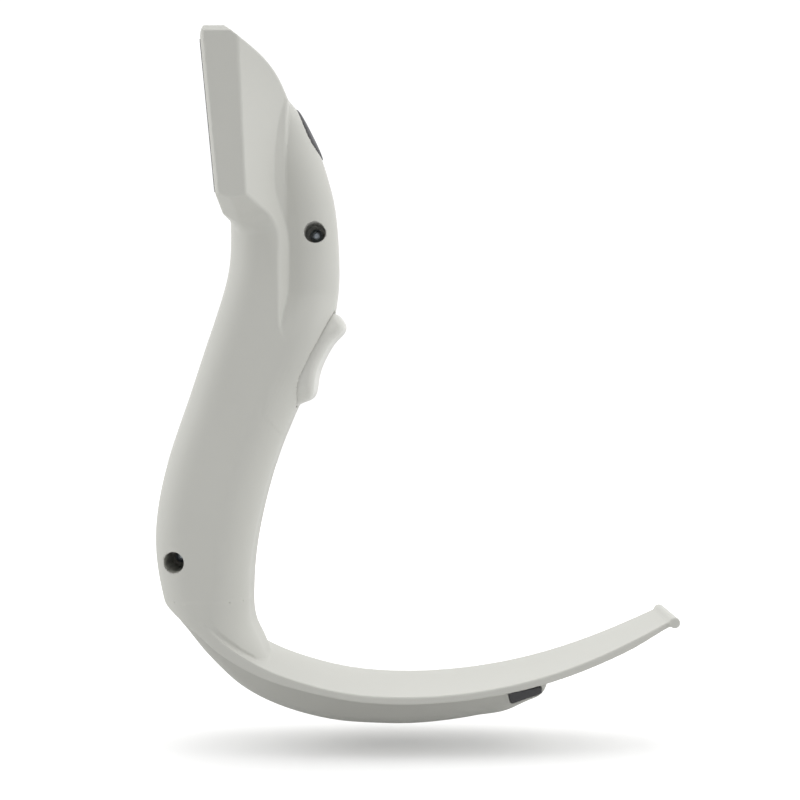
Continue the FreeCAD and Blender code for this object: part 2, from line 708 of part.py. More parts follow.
def led_board():
    board = box((5.6, 6.9), (-20, 20), (LED_Z - 4, LED_Z + 4))
    chips = [box((4.8, 5.6), (y - 1.75, y + 1.75), (LED_Z - 1.75, LED_Z + 1.75)) for y in LED_Y]
    return in_head(board.fuse(chips))


def main_board():
    board = box((BOARD_DEPTH, BOARD_DEPTH + BOARD_THICK), (-18.5, 18.5), BOARD_SPAN)
    chip_x = (BOARD_DEPTH + BOARD_THICK, BOARD_DEPTH + BOARD_THICK + 1.0)
    chips = [box(chip_x, (y, y + CHIP_SIZE), (CHIP_FOOT, CHIP_FOOT + CHIP_SIZE)) for y in (-11, 3)]
    post_y, post_z = BOARD_POST
    for y in (-post_y, post_y):
        board = board.cut(rod(1.2, (BOARD_DEPTH - 1, y, post_z), (BOARD_DEPTH + 2, y, post_z)))
    return in_head(board.fuse(chips))


def board_screws():
    screws = []
    post_y, z = BOARD_POST
    for y in (-post_y, post_y):
        face = BOARD_DEPTH + BOARD_THICK
        head_part = rod(SMALL_HEAD, (face, y, z), (face + 1.2, y, z))
        shank = rod(SMALL_SHANK, (BOARD_DEPTH - 4, y, z), (face + 0.1, y, z))
        screws.append(in_head(head_part.fuse(shank)))
    return Part.makeCompound(screws)


# Controls

def control_pad(outer):
    """The oval pad, flush with the spine, with a window for its button."""
    pad = in_pad(oval(PAD_SIZE, -PAD_DEPTH + 0.05, 6)).common(outer)
    window = in_pad(oval((BUTTON_SIZE[0] + 0.15, BUTTON_SIZE[1] + 0.15), -8, 8))
    return largest(pad.cut(window))


def control_button():
    cap = oval(BUTTON_SIZE, -PAD_DEPTH + BUTTON_TRAVEL + 0.3, BUTTON_PROUD)
    cap = cap.makeFillet(0.5, [edge for edge in cap.Edges if edge.BoundBox.ZMin > BUTTON_PROUD - 0.1])
    stem = rod(1.8, (0, 0, -5.6), (0, 0, -1))
    return in_pad(cap.fuse(stem))


def control_board():
    return in_pad(box((-9, 9), (-7.5, 7.5), (SWITCH_SEAT - 1.0, SWITCH_SEAT)))


def control_switch():
    can = box((-3, 3), (-3, 3), (SWITCH_SEAT, SWITCH_SEAT + 2.2))
    return in_pad(can.cut(rod(PLUNGER_RADIUS + 0.05, (0, 0, SWITCH_SEAT + 0.8), (0, 0, SWITCH_SEAT + 3))))


def control_plunger():
    return in_pad(rod(PLUNGER_RADIUS, (0, 0, SWITCH_SEAT + 1.7), (0, 0, SWITCH_SEAT + 3.7)))


# Trigger

def thumb_trigger():
    paddle = column(TRIGGER, 0, TRIGGER_POWER)
    x, z = TRIGGER_PIVOT
    eye = rod(EAR_RADIUS, (x, EAR[0], z), (x, EAR[1], z))
    arm = box((x, x + 5.0), EAR, (z - EAR_RADIUS, z + 2.8)).fuse(eye)
    nub = box((-43.8, -38.0), (-2, 2), (SWITCH_Z - 1.5, SWITCH_Z + 1.5))
    body = paddle.fuse([arm, mirrored(arm), nub])
    return body.cut(rod(PIN_RADIUS + PIN_CLEARANCE, (x, -12, z), (x, 12, z)))


def trigger_pin():
    x, z = TRIGGER_PIVOT
    return rod(PIN_RADIUS, (x, -PIN_HALF, z), (x, PIN_HALF, z))


def trigger_spring():
    """A coil of round wire about the pin."""
    x, z = TRIGGER_PIVOT
    helix = Part.makeHelix(SPRING_PITCH, SPRING_WIDTH, SPRING_COIL)
    ring = Part.Wire(Part.makeCircle(SPRING_WIRE, vec(SPRING_COIL, 0, 0), vec(0, 1, 0)))
    coil = Part.Wire(helix.Edges).makePipeShell([ring], True, True)
    coil.rotate(vec(0, 0, 0), vec(1, 0, 0), -90)
    coil.translate(vec(x, -SPRING_WIDTH / 2, z))
    return coil


def trigger_switch():
    can = box((-51.5, -46.5), (-3, 3), (SWITCH_Z - 3, SWITCH_Z + 3))
    return can.cut(rod(1.1, (-49.0, 0, SWITCH_Z), (-45, 0, SWITCH_Z)))


def trigger_plunger():
    return rod(1.0, (-47.6, 0, SWITCH_Z), (-44.05, 0, SWITCH_Z))


def trigger_board():
    return box((-53.0, -46.8), (3.05, 4.25), (SWITCH_Z - 6, SWITCH_Z + 7))


# Battery

def in_cell(shape):
    return placed(shape, CELL_FOOT, CELL_TILT)


def battery_cell():
    can = rod(CELL_RADIUS - 0.15, (0, 0, 0), (0, 0, CELL_LENGTH - 1))
    return in_cell(can.fuse(rod(3.2, (0, 0, CELL_LENGTH - 1.1), (0, 0, CELL_LENGTH))))


def battery_holder():
    tray = box((-11.0, 3.0), (-11.0, 11.0), (-4.5, CELL_LENGTH + 4.5))
    reach = CELL_RADIUS + TRAY_CLEARANCE
    pocket = rod(reach, (0, 0, -3), (0, 0, CELL_LENGTH + 3))
    mouth = box((0, 4), (-reach, reach), (-3, CELL_LENGTH + 3))
    return in_cell(tray.cut(pocket.fuse(mouth)))


def battery_contacts():
    foot = rod(CONTACT_RADIUS, (0, 0, -3), (0, 0, -2.4)).fuse(Part.makeCone(4.0, 2.0, 2.3, vec(0, 0, -2.4)))
    top = rod(CONTACT_RADIUS, (0, 0, CELL_LENGTH + 2.4), (0, 0, CELL_LENGTH + 3))
    top = top.fuse(Part.makeCone(2.0, 4.0, 2.35, vec(0, 0, CELL_LENGTH + 0.05)))
    return Part.makeCompound([in_cell(foot), in_cell(top)])


def main():
    outer = casing(0)
    left, right = shells()
    pieces = {
        "left_shell": left,
        "right_shell": right,
        "case_screws": case_screws(),
        "case_inserts": case_inserts(),
        "front_window": front_window(),
        "window_seal": window_seal(),
        "optics_frame": optics_frame(),
        "optics_screws": optics_screws(),
        "left_camera": camera(-CAMERA_Y),
        "right_camera": camera(CAMERA_Y),
        "camera_lenses": camera_lenses(),
        "pattern_projector": projector_body(),
        "projector_lens": lens(PROJECTOR_RADIUS - 1.3, 0, CAMERA_Z - 2, 8.3, 2.2),
        "led_board": led_board(),
        "main_board": main_board(),
        "board_screws": board_screws(),
        "control_pad": control_pad(outer),
        "control_button": control_button(),
        "control_board": control_board(),
        "control_switch": control_switch(),
        "control_plunger": control_plunger(),
        "thumb_trigger": thumb_trigger(),
        "trigger_pin": trigger_pin(),
        "trigger_spring": trigger_spring(),
        "trigger_board": trigger_board(),
        "trigger_switch": trigger_switch(),
        "trigger_plunger": trigger_plunger(),
        "battery_cell": battery_cell(),
        "battery_holder": battery_holder(),
        "battery_contacts": battery_contacts(),
        "arm_blade": arm_blade(),
        "arm_rib": arm_rib(),
        "arm_screws": arm_screws(),
        "port_plug": port_plug(),
        "port_socket": port_socket(),
        "port_board": port_board(),
        "port_cable": port_cable(),
    }
    os.makedirs("parts", exist_ok=True)
    for name, shape in pieces.items():
        shape.exportStep("parts/" + name + ".step")


main()
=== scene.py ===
import json
import math
from functools import partial

import bpy
import numpy as np
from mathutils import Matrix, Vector


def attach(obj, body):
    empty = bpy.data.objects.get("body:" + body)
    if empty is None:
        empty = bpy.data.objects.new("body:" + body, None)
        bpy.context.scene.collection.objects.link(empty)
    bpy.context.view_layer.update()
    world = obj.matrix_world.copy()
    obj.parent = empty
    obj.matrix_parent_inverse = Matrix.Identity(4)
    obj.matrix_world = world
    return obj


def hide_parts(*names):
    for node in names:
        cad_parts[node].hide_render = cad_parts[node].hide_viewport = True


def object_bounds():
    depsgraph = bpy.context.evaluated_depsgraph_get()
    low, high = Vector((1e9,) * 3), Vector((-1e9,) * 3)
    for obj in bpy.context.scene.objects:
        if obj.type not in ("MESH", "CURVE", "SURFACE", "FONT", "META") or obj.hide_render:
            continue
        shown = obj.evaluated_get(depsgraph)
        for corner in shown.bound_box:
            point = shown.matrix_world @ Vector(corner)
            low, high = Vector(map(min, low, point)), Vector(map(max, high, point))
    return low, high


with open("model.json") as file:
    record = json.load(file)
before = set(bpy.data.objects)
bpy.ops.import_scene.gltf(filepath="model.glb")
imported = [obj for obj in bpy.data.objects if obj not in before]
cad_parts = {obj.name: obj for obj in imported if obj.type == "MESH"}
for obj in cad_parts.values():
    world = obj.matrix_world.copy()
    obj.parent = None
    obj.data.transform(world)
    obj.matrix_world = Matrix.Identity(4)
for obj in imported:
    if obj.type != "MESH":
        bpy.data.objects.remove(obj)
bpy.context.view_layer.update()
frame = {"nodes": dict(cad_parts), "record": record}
MM = 0.001

# Handheld 3-D scanner.  Each visible moulding is a field: the distance from its surface, negative
# inside, in millimetres along the frame's own axes.  The field is sampled on a grid and skinned.

VOXEL = 0.6
FINE_VOXEL = 0.33
SMALL_VOXEL = FINE_VOXEL * 0.8
SCREW_VOXEL = 0.2

# Casing outlines, as (X, Z) points
WALL = 2.2
HALF_GRIP = 22.0
GRIP_FRONT = [(-82.6, 29.0), (-84.8, 32.4), (-87.3, 36.4), (-90.0, 43.8), (-92.4, 54.5), (-93.6, 67.5),
              (-92.5, 80.5), (-88.1, 99.0), (-81.8, 117.5), (-75.7, 136.0), (-69.6, 154.5), (-67.0, 165.6),
              (-66.4, 175.0), (-66.5, 184.0)]
GRIP_REAR = [(-45.0, 196.0), (-40.0, 176.0), (-36.0, 156.0), (-36.0, 136.0), (-42.2, 117.5),
             (-49.7, 99.0), (-56.1, 76.8), (-59.5, 56.0), (-59.9, 46.0), (-59.6, 39.0), (-58.3, 34.2),
             (-56.4, 30.4), (-54.9, 27.0), (-53.2, 22.0)]
GRIP_ROUNDING = 12.5
FOOT_ROUNDER = 2.5
FOOT_ROUNDER_HEIGHTS = (60.0, 28.0)
FOOT_ROUNDER_DEPTHS = (-82.0, -64.0)
SPINE_REAR = [(-46.8, 227.9), (-43.5, 224.2), (-38.2, 215.4), (-34.1, 206.6), (-31.7, 199.1), (-29.8, 191.6),
              (-28.3, 180.4), (-27.7, 169.3), (-27.9, 158.2), (-29.0, 150.8), (-31.8, 140.0), (-36.3, 128.0),
              (-42.2, 117.0), (-47.5, 105.0)]
SPINE_FRONT_X = -62.0
SPINE_FRONT_SPAN = (104.0, 226.0)
HALF_SPINE = 16.7
SPINE_ROUNDING = 13.5
SPINE_FOOT_SHARPER = 1.0
SPINE_FOOT_HEIGHTS = (158.0, 140.0)
SPINE_TOP_SHARPER = 2.5
SPINE_TOP_HEIGHTS = (206.0, 222.0)
SPINE_FILLET = 0.4
WIDENING_TOP = 155.5
WIDENING_HEIGHT = 17.5
WIDENING_SOFTNESS = 0.14
WIDENING_POWER = 1.8

# Head
HALF_HEAD = 36.0
GLASS_TOP = (-74.6, 243.1)
GLASS_FOOT = (-69.4, 189.2)
GLASS_PROUD = 0.45
HEAD_TOP_FRONT = (-73.3, 247.0)
HEAD_ARCH = [(-65.9, 247.2), (-61.6, 243.7), (-54.9, 239.2), (-49.4, 233.6), (-46.1, 227.2), (-45.3, 225.2)]
HEAD_CHIN = (-67.5, 183.2)
FRONT_CHAMFER = 1.4
TOP_CHAMFER = 2.6
HEAD_SIDE_EDGE = 0.5
UNDERSIDE_EDGE = 0.6
NECK_FILLET = 0.6
NECK_FILLET_GROWTH = 4.0
NECK_FILLET_SIDES = (13.0, 21.0)
BEVEL_EDGE = 0.7
SIDE_EDGE_FOOT = (-58.1, 189.6)
SIDE_EDGE_TOP = (-61.0, 242.0)
STRIP_FRONT = (-50.0, 19.0)
STRIP_REAR = (-46.1, 16.8)
BEVEL_TWIST = 2.3
TWIST_FROM = 200.0
TWIST_HEIGHT = 26.0
BEVEL_SET_BACK = 3.6
SET_BACK_HEIGHTS = (197.0, 172.0)
BEVEL_FADE = 7.0
FADE_HEIGHTS = (146.0, 126.0)
UNDERSIDE_POINT = (-66.0, 36.0, 186.6)
UNDERSIDE_NORMAL = (0.208, 0.515, -0.831)
CHIN_CORNER_POINT = (-61.8, 36.0, 186.8)
CHIN_CORNER_NORMAL = (-0.29, 0.448, -0.845)

# Openings
CASE_SCREWS = [(-35.9, 177.9), (-85.5, 60.1)]
RECESS_RADIUS = 3.8
RECESS_FLOOR = 1.2
RECESS_BOTTOM = 15.2
BOSS_RADIUS = 5.3
SCREW_HOLE_RADIUS = 1.6
INSERT_HOLE_RADIUS = 2.02
INSERT_HOLE_DEPTH = 8.4
FRONT_WALL = 5.0
GLASS_HALF = (33.1, 26.75)
GLASS_THICK = 2.0
GLASS_GAP = 0.12
REBATE_DEPTH = 2.6
WINDOW_LEDGE = 2.7

# Thumb trigger
TRIGGER_REAR = [(-29.8, 150.3), (-27.9, 149.2), (-26.2, 147.2), (-25.2, 144.8), (-25.9, 142.6),
                (-28.6, 139.8), (-31.5, 135.8), (-34.2, 130.6), (-35.7, 125.2), (-36.3, 120.6),
                (-37.0, 118.7), (-38.8, 117.2), (-41.3, 116.2), (-43.2, 114.6)]
TRIGGER_FRONT = [(-48.0, 114.0), (-48.0, 119.5), (-46.2, 124.5), (-43.7, 130.8), (-42.2, 137.0),
                 (-38.5, 143.0), (-36.0, 147.0), (-34.8, 152.0)]
HALF_TRIGGER = 17.3
TRIGGER_MIDDLE = 129.0
TRIGGER_RISE = 21.2
TRIGGER_FALL = 13.8
TRIGGER_POWER = 2.3
TRIGGER_GAP = 0.4
TRIGGER_THROW = 4.0
TRIGGER_PIVOT = (-38.5, 146.5)
TRIGGER_EDGE = 0.8
TRIGGER_EDGE_GROWTH = 1.8
TRIGGER_EDGE_HEIGHTS = (115.0, 124.0)
PIN_HOLE_RADIUS = 1.56
PIN_HOLE_HALF = 11.2
EYE_RADIUS = 3.0
EYE_PLACE = 5.6
EYE_HALF = 2.4

# Control pad and button, in a frame whose z is outward and whose x runs down the pad
PAD_CENTRE = (-38.9, 215.4)
PAD_OUTWARD = (0.8926, 0.4509)
PAD_HALF = (10.4, 9.1)
PAD_DEPTH = 3.4
PAD_PROUD = 0.5
PAD_GAP = 0.12
SEAT_WALL = 2.0
BUTTON_HALF = (5.3, 4.1)
BUTTON_PROUD = 0.9
BUTTON_GAP = 0.22
BUTTON_DISH_RADIUS = 12.0
STEM_RADIUS = 1.8
STEM_HOLE_RADIUS = 3.6
OVAL_POWER = 2.3

# Arm
BLADE_TOP = [(-97.0, 55.3), (-84.0, 45.2), (-76.0, 39.0), (-68.1, 32.3), (-60.2, 26.8), (-52.9, 22.8),
             (-40.0, 18.0), (-26.5, 14.65), (0.0, 12.75), (26.7, 15.2), (53.5, 21.7), (80.7, 32.7),
             (93.5, 39.0)]
BLADE_THICK = 2.8
ROOT_THICKER = 1.2
ROOT_SPAN = (-30.0, -70.0)
TIP_THINNER = 0.8
TIP_SPAN = (76.0, 92.0)
BLADE_EDGE = 0.5
BLADE_EDGE_SPAN = (-72.0, -64.0)
SHARP = 0.01
FOOT_SEAM = 46.0
FOOT_FLARE = 1.8
FLARE_GROWS = (-80.0, -66.0)
FLARE_SHRINKS = (-62.0, -56.0)
FLARE_LOSS = 0.8
BLADE_PLAN = [(-90.0, 22.0), (-35.0, 22.0), (0.0, 21.5), (30.0, 20.4), (55.0, 18.6), (75.0, 16.2),
              (97.0, 12.8)]
BEAD_CENTRE = (93.5, 37.6)
BEAD_RADIUS = 2.0
BEAD_HALF = 14.6
BEAD_EDGE = 0.35
RIB_BOTTOM = [(-90.0, 46.5), (-87.0, 41.0), (-82.0, 34.2), (-76.4, 26.8), (-71.0, 20.8), (-65.7, 15.5),
              (-54.6, 8.2), (-38.1, 2.2), (-27.0, 0.1), (-16.0, -0.6), (-5.0, -0.85), (16.6, 1.2),
              (33.1, 5.5), (41.9, 9.5), (45.6, 11.3), (47.3, 13.6), (48.3, 17.5)]
RIB_TOP = [(40.0, 25.0), (-20.0, 25.0), (-60.0, 40.0), (-80.0, 55.0)]
HALF_RIB = 14.5
RIB_WALL = 2.0
RIB_ROUNDING = 3.5
RIB_LEAN = 0.62
LEAN_DEPTH = 12.0
LEAN_SPAN = (36.0, 22.0)
JOINT_GAP = 0.02

# Port at the end of the rib, in a frame whose x runs up the arm
PORT_CENTRE = (39.9, 12.1)
PORT_ALONG = (0.966, 0.259)
PORT_HALF = (6.0, 1.7)
PORT_DEPTH = 1.8
PORT_TAPER = 0.07
PLUG_GAP = 0.12

# Stage, light and camera
FLOOR_DROP = 8.0
FLOOR_HALF = 1.6
FLOOR_BOUNCE = 0.72
GLOW_REACH = (0.03, 0.4)
GLOW_STRENGTH = (0.07, 0.5)
WORLD_REACH = (-1.0, 0.35)
WORLD_STRENGTH = (0.44, 1.18)
BACKDROP_STRENGTH = 1.1
LAMP_AIM = (-0.02, 0, 0.12)
LAMPS = [("left_panel", (-0.9, -0.15, 0.35), 0.6, 1.4), ("right_panel", (0.9, -0.15, 0.45), 0.6, 1.6),
         ("top_panel", (0.0, 0.1, 1.1), 0.7, 2.0)]
CAMERA_PLACE = (-0.0081, -0.481, 0.12487)
CAMERA_LENS = 58.5
# The view's vanishing point lies a little left of and above the frame's middle.
CAMERA_SHIFT = (0.01, -0.025)


# Lines and fields

def smooth_line(points, per_span=12):
    """A natural cubic through the points, by distance along them."""
    points = np.array(points, float)
    place = np.concatenate([[0], np.cumsum(np.hypot(*np.diff(points, axis=0).T))])
    count = len(points)
    step = np.diff(place)
    system = np.eye(count)
    bend = np.zeros((count, 2))
    for i in range(1, count - 1):
        system[i, i - 1] = step[i - 1]
        system[i, i] = 2 * (step[i - 1] + step[i])
        system[i, i + 1] = step[i]
        bend[i] = 6 * ((points[i + 1] - points[i]) / step[i] - (points[i] - points[i - 1]) / step[i - 1])
    curve = np.linalg.solve(system, bend)
    at = np.linspace(0, place[-1], per_span * (count - 1) + 1)
    i = np.clip(np.searchsorted(place, at, "right") - 1, 0, count - 2)
    before = ((place[i + 1] - at) / step[i])[:, None]
    after = ((at - place[i]) / step[i])[:, None]
    swell = (before ** 3 - before) * curve[i] + (after ** 3 - after) * curve[i + 1]
    return before * points[i] + after * points[i + 1] + swell * (step[i] ** 2 / 6)[:, None]


def outline_distance(outline, x, z):
    """Signed distance from a closed XZ outline, negative inside, for broadcastable x and z."""
    px, pz = x.reshape(-1, 1), z.reshape(1, -1)
    nearest = np.full((px.size, pz.size), np.inf)
    inside = np.zeros(nearest.shape, bool)
    for (ax, az), (bx, bz) in zip(outline, np.roll(outline, -1, axis=0)):
        ex, ez = bx - ax, bz - az
        length = ex * ex + ez * ez
        if length < 1e-12:
            continue
        share = np.clip(((px - ax) * ex + (pz - az) * ez) / length, 0, 1)
        nearest = np.minimum(nearest, (px - ax - share * ex) ** 2 + (pz - az - share * ez) ** 2)
        if abs(ez) > 1e-12:
            inside ^= ((az > pz) != (bz > pz)) & (px < ex * (pz - az) / ez + ax)
    signed = np.where(inside, -1, 1) * np.sqrt(nearest)
    return signed[:, None, :]


def meet(a, b, radius=0.0):
    """What two fields share, with the shared edge rounded."""
    rounded = np.hypot(np.maximum(a + radius, 0), np.maximum(b + radius, 0))
    return np.minimum(np.maximum(a, b), -radius) + rounded


def join(a, b, radius=0.0):
    """Two fields together, with a fillet between them."""
    return -meet(-a, -b, radius)


def cut(a, b, radius=0.0):
    """Field a without field b, with the edge rounded."""
    return meet(a, -b, radius)


def ease(value, start, end):
    """A smooth rise from 0 at the start to 1 at the end."""
    share = np.clip((value - start) / (end - start), 0, 1)
    return share * share * (3 - 2 * share)


def plane(x, side, z, point, normal):
    """Height above a plane through a point."""
    return (x - point[0]) * normal[0] + (side - point[1]) * normal[1] + (z - point[2]) * normal[2]


def slab(value, half):
    """Distance from an endless slab centred on zero."""
    return np.abs(value) - half


def turned(x, z, centre, along):
    """Coordinates in a frame turned in the XZ plane: along the given direction, and across it."""
    dx, dz = x - centre[0], z - centre[1]
    return dx * along[0] + dz * along[1], dz * along[0] - dx * along[1]


# Skinning

CORNERS = [(i, j, k) for i in (0, 1) for j in (0, 1) for k in (0, 1)]
CELL_EDGES = [(a, b) for a in CORNERS for b in CORNERS if sum(b) - sum(a) == 1 and
              all(q >= p for p, q in zip(a, b))]
TINY = 1e-9


def sample(field, at):
    """The field and its slope at grid positions, by blending the eight corners."""
    base = np.clip(np.floor(at).astype(int), 0, np.array(field.shape) - 2)
    part = at - base
    value = np.zeros(len(at))
    slope = np.zeros((len(at), 3))
    for corner in CORNERS:
        level = field[base[:, 0] + corner[0], base[:, 1] + corner[1], base[:, 2] + corner[2]]
        share = [part[:, a] if corner[a] else 1 - part[:, a] for a in range(3)]
        value += level * share[0] * share[1] * share[2]
        for a in range(3):
            others = share[(a + 1) % 3] * share[(a + 2) % 3]
            slope[:, a] += level * others * (1 if corner[a] else -1)
    return value, slope


def surface_cells(field, inside):
    """A point on the surface in each grid cell that it crosses, and the cells' numbers."""
    cells = tuple(n - 1 for n in field.shape)
    filled = np.zeros(cells, np.int8)
    for i, j, k in CORNERS:
        filled += inside[i:cells[0] + i, j:cells[1] + j, k:cells[2] + k]
    active = (filled > 0) & (filled < 8)
    index = np.full(cells, -1)
    index[active] = np.arange(active.sum())
    cell = np.stack(np.nonzero(active), 1)
    at = np.zeros((len(cell), 3))
    hits = np.zeros(len(cell))
    for a, b in CELL_EDGES:
        level_a = field[tuple((cell + a).T)]
        level_b = field[tuple((cell + b).T)]
        crossed = (level_a < 0) != (level_b < 0)
        share = level_a[crossed] / (level_a[crossed] - level_b[crossed])
        at[crossed] += cell[crossed] + a + share[:, None] * (np.array(b) - a)
        hits[crossed] += 1
    at /= hits[:, None]
    for _ in range(3):
        value, slope = sample(field, at)
        steep = np.maximum((slope ** 2).sum(1), TINY)
        move = slope * (value / steep)[:, None]
        at -= np.clip(move, -0.4, 0.4)
    return at, index


def follow_outer(at, slope, outer, level, voxel):
    """Moves points near the seam's level onto it, and gives points on the outer field its slope."""
    on_skin = np.abs(sample(outer, at)[0]) < 0.45 * voxel
    on_seam = on_skin & (np.abs(at[:, 2] - level) < 0.8)
    at[on_seam, 2] = level
    for _ in range(2):
        skin_value, skin_slope = sample(outer, at)
        flat = skin_slope[on_seam, :2]
        move = flat * (skin_value[on_seam] / np.maximum((flat ** 2).sum(1), TINY))[:, None]
        at[on_seam, :2] -= np.clip(move, -0.5, 0.5)
    slope[on_skin] = sample(outer, at)[1][on_skin]


def surface_quads(inside, index):
    """One quad for each grid edge that the surface crosses, turned to face outward."""
    quads = []
    for axis in range(3):
        u, v = (axis + 1) % 3, (axis + 2) % 3
        first = [slice(1, -1)] * 3
        first[axis] = slice(0, -1)
        second = list(first)
        second[axis] = slice(1, None)
        start, end = inside[tuple(first)], inside[tuple(second)]
        spots = np.stack(np.nonzero(start != end), 1)
        outward = start[start != end]
        spots += [0 if a == axis else 1 for a in range(3)]
        ring = []
        for du, dv in ((-1, -1), (0, -1), (0, 0), (-1, 0)):
            shifted = spots.copy()
            shifted[:, u] += du
            shifted[:, v] += dv
            ring.append(index[tuple(shifted.T)])
        ring = np.stack(ring, 1)
        ring[~outward] = ring[~outward][:, ::-1]
        quads.append(ring)
    return np.concatenate(quads)


def skin(name, field_of, low, high, voxel, outer_of=None, seam=None):
    """A smooth quad mesh on a field's surface.  Where it runs along the uncut outer field, it takes
    that field's normals, and its edge on a level seam is exact."""
    axes = [np.arange(a - 2 * voxel, b + 3 * voxel, voxel) for a, b in zip(low, high)]
    x, y, z = axes[0][:, None, None], axes[1][None, :, None], axes[2][None, None, :]
    field = np.ascontiguousarray(np.broadcast_to(field_of(x, y, z), [len(a) for a in axes]))
    inside = field < 0
    at, index = surface_cells(field, inside)
    slope = sample(field, at)[1]
    if outer_of is not None:
        outer = np.broadcast_to(outer_of(x, y, z), field.shape)
        follow_outer(at, slope, outer, (seam - axes[2][0]) / voxel, voxel)
    normals = slope / np.maximum(np.linalg.norm(slope, axis=1), TINY)[:, None]
    points = (at * voxel + [a[0] for a in axes]) * MM
    return build_mesh(name, points, surface_quads(inside, index), normals)


def build_mesh(name, points, quads, normals):
    mesh = bpy.data.meshes.new(name)
    mesh.vertices.add(len(points))
    mesh.vertices.foreach_set("co", points.astype(np.float32).ravel())
    mesh.loops.add(quads.size)
    mesh.loops.foreach_set("vertex_index", quads.astype(np.int32).ravel())
    mesh.polygons.add(len(quads))
    mesh.polygons.foreach_set("loop_start", np.arange(0, quads.size, 4, dtype=np.int32))
    mesh.update(calc_edges=True)
    mesh.validate()
    mesh.shade_smooth()
    mesh.normals_split_custom_set_from_vertices(normals.astype(np.float32))
    piece = bpy.data.objects.new(name, mesh)
    bpy.context.scene.collection.objects.link(piece)
    return piece


# Outlines shared by the mouldings

GRIP_OUTLINE = np.concatenate([smooth_line(GRIP_FRONT), smooth_line(GRIP_REAR)])
SPINE_OUTLINE = np.concatenate([smooth_line(SPINE_REAR), [(SPINE_FRONT_X, z) for z in SPINE_FRONT_SPAN]])
HEAD_FRONT = [(GLASS_FOOT[0] + GLASS_PROUD, GLASS_FOOT[1]), (GLASS_TOP[0] + GLASS_PROUD, GLASS_TOP[1])]
HEAD_OUTLINE = np.concatenate([[(-58.0, 177.0), HEAD_CHIN], HEAD_FRONT, [HEAD_TOP_FRONT],
                               smooth_line(HEAD_ARCH), [(-45.9, 205.0), (-45.9, 177.0)]])
ROOT_OUTLINE = np.concatenate([smooth_line(GRIP_FRONT), [(200.0, 184.0), (200.0, -60.0), (-70.0, -60.0)]])
BLADE_LINE = smooth_line(BLADE_TOP)
BELOW_CORNERS = [(120.0, 52.0), (120.0, -40.0), (-120.0, -40.0), (-120.0, 73.0)]
BELOW_OUTLINE = np.concatenate([BLADE_LINE, BELOW_CORNERS])
RIB_OUTLINE = np.concatenate([smooth_line(RIB_BOTTOM), RIB_TOP])
TRIGGER_OUTLINE = np.concatenate([smooth_line(TRIGGER_REAR), TRIGGER_FRONT])


def window_frame(x, z):
    """Depth behind the glass face, and height up the window."""
    run, rise = GLASS_TOP[0] - GLASS_FOOT[0], GLASS_TOP[1] - GLASS_FOOT[1]
    length = math.hypot(run, rise)
    centre = ((GLASS_TOP[0] + GLASS_FOOT[0]) / 2, (GLASS_TOP[1] + GLASS_FOOT[1]) / 2)
    up, depth = turned(x, z, centre, (run / length, rise / length))
    return -depth, up


def grip_form(x, y, z):
    """The grip, rounder at its foot's rear."""
    rounder = FOOT_ROUNDER * ease(z, *FOOT_ROUNDER_HEIGHTS) * ease(x, *FOOT_ROUNDER_DEPTHS)
    return meet(outline_distance(GRIP_OUTLINE, x, z), slab(y, HALF_GRIP), GRIP_ROUNDING + rounder)


def bevel(x, side, z):
    """The slanting rear faces of the head, which run on down the neck and fade out."""
    lean = (SIDE_EDGE_TOP[0] - SIDE_EDGE_FOOT[0]) / (SIDE_EDGE_TOP[1] - SIDE_EDGE_FOOT[1])
    outer_x = SIDE_EDGE_FOOT[0] + lean * (z - SIDE_EDGE_FOOT[1])
    twist = BEVEL_TWIST * (np.maximum(z - TWIST_FROM, 0) / TWIST_HEIGHT) ** 2
    inner_x = STRIP_FRONT[0] + BEVEL_SET_BACK * ease(z, *SET_BACK_HEIGHTS) + twist
    drop, run = HALF_HEAD - STRIP_FRONT[1], inner_x - outer_x
    reach = (x - inner_x) * drop + (side - STRIP_FRONT[1]) * run
    return reach / np.hypot(drop, run) - BEVEL_FADE * ease(z, *FADE_HEIGHTS)


def strip(x, side):
    """The narrow facet between the rear face and the spine."""
    run, drop = STRIP_REAR[0] - STRIP_FRONT[0], STRIP_FRONT[1] - STRIP_REAR[1]
    return ((x - STRIP_REAR[0]) * drop + (side - STRIP_REAR[1]) * run) / math.hypot(run, drop)


def head_form(x, side, z):
    """The head without its rear bevels: a slab with chamfered front, top and lower corners."""
    head = meet(outline_distance(HEAD_OUTLINE, x, z), side - HALF_HEAD, HEAD_SIDE_EDGE)
    depth = window_frame(x, z)[0]
    head = np.maximum(head, (side - HALF_HEAD - depth + GLASS_PROUD + FRONT_CHAMFER) * math.sqrt(0.5))
    top = z - HEAD_ARCH[0][1]
    head = np.maximum(head, (side - HALF_HEAD + top + TOP_CHAMFER) * math.sqrt(0.5))
    head = meet(head, plane(x, side, z, UNDERSIDE_POINT, UNDERSIDE_NORMAL), UNDERSIDE_EDGE)
    return meet(head, plane(x, side, z, CHIN_CORNER_POINT, CHIN_CORNER_NORMAL), UNDERSIDE_EDGE)


def spine_rounding(z):
    """The spine's edge radius, which is smaller at both its ends."""
    foot = SPINE_FOOT_SHARPER * ease(z, *SPINE_FOOT_HEIGHTS)
    return SPINE_ROUNDING - foot - SPINE_TOP_SHARPER * ease(z, *SPINE_TOP_HEIGHTS)


def spine_form(x, side, z):
    """The rounded rear of the neck, which widens downward to the grip."""
    down = (WIDENING_TOP - z) / WIDENING_HEIGHT
    down = np.clip((down + np.hypot(down, WIDENING_SOFTNESS)) / 2, 0, 1)
    widening = 1 - (1 - down) ** WIDENING_POWER
    half_spine = HALF_SPINE + (HALF_GRIP - HALF_SPINE) * widening
    return meet(outline_distance(SPINE_OUTLINE, x, z), side - half_spine, spine_rounding(z))


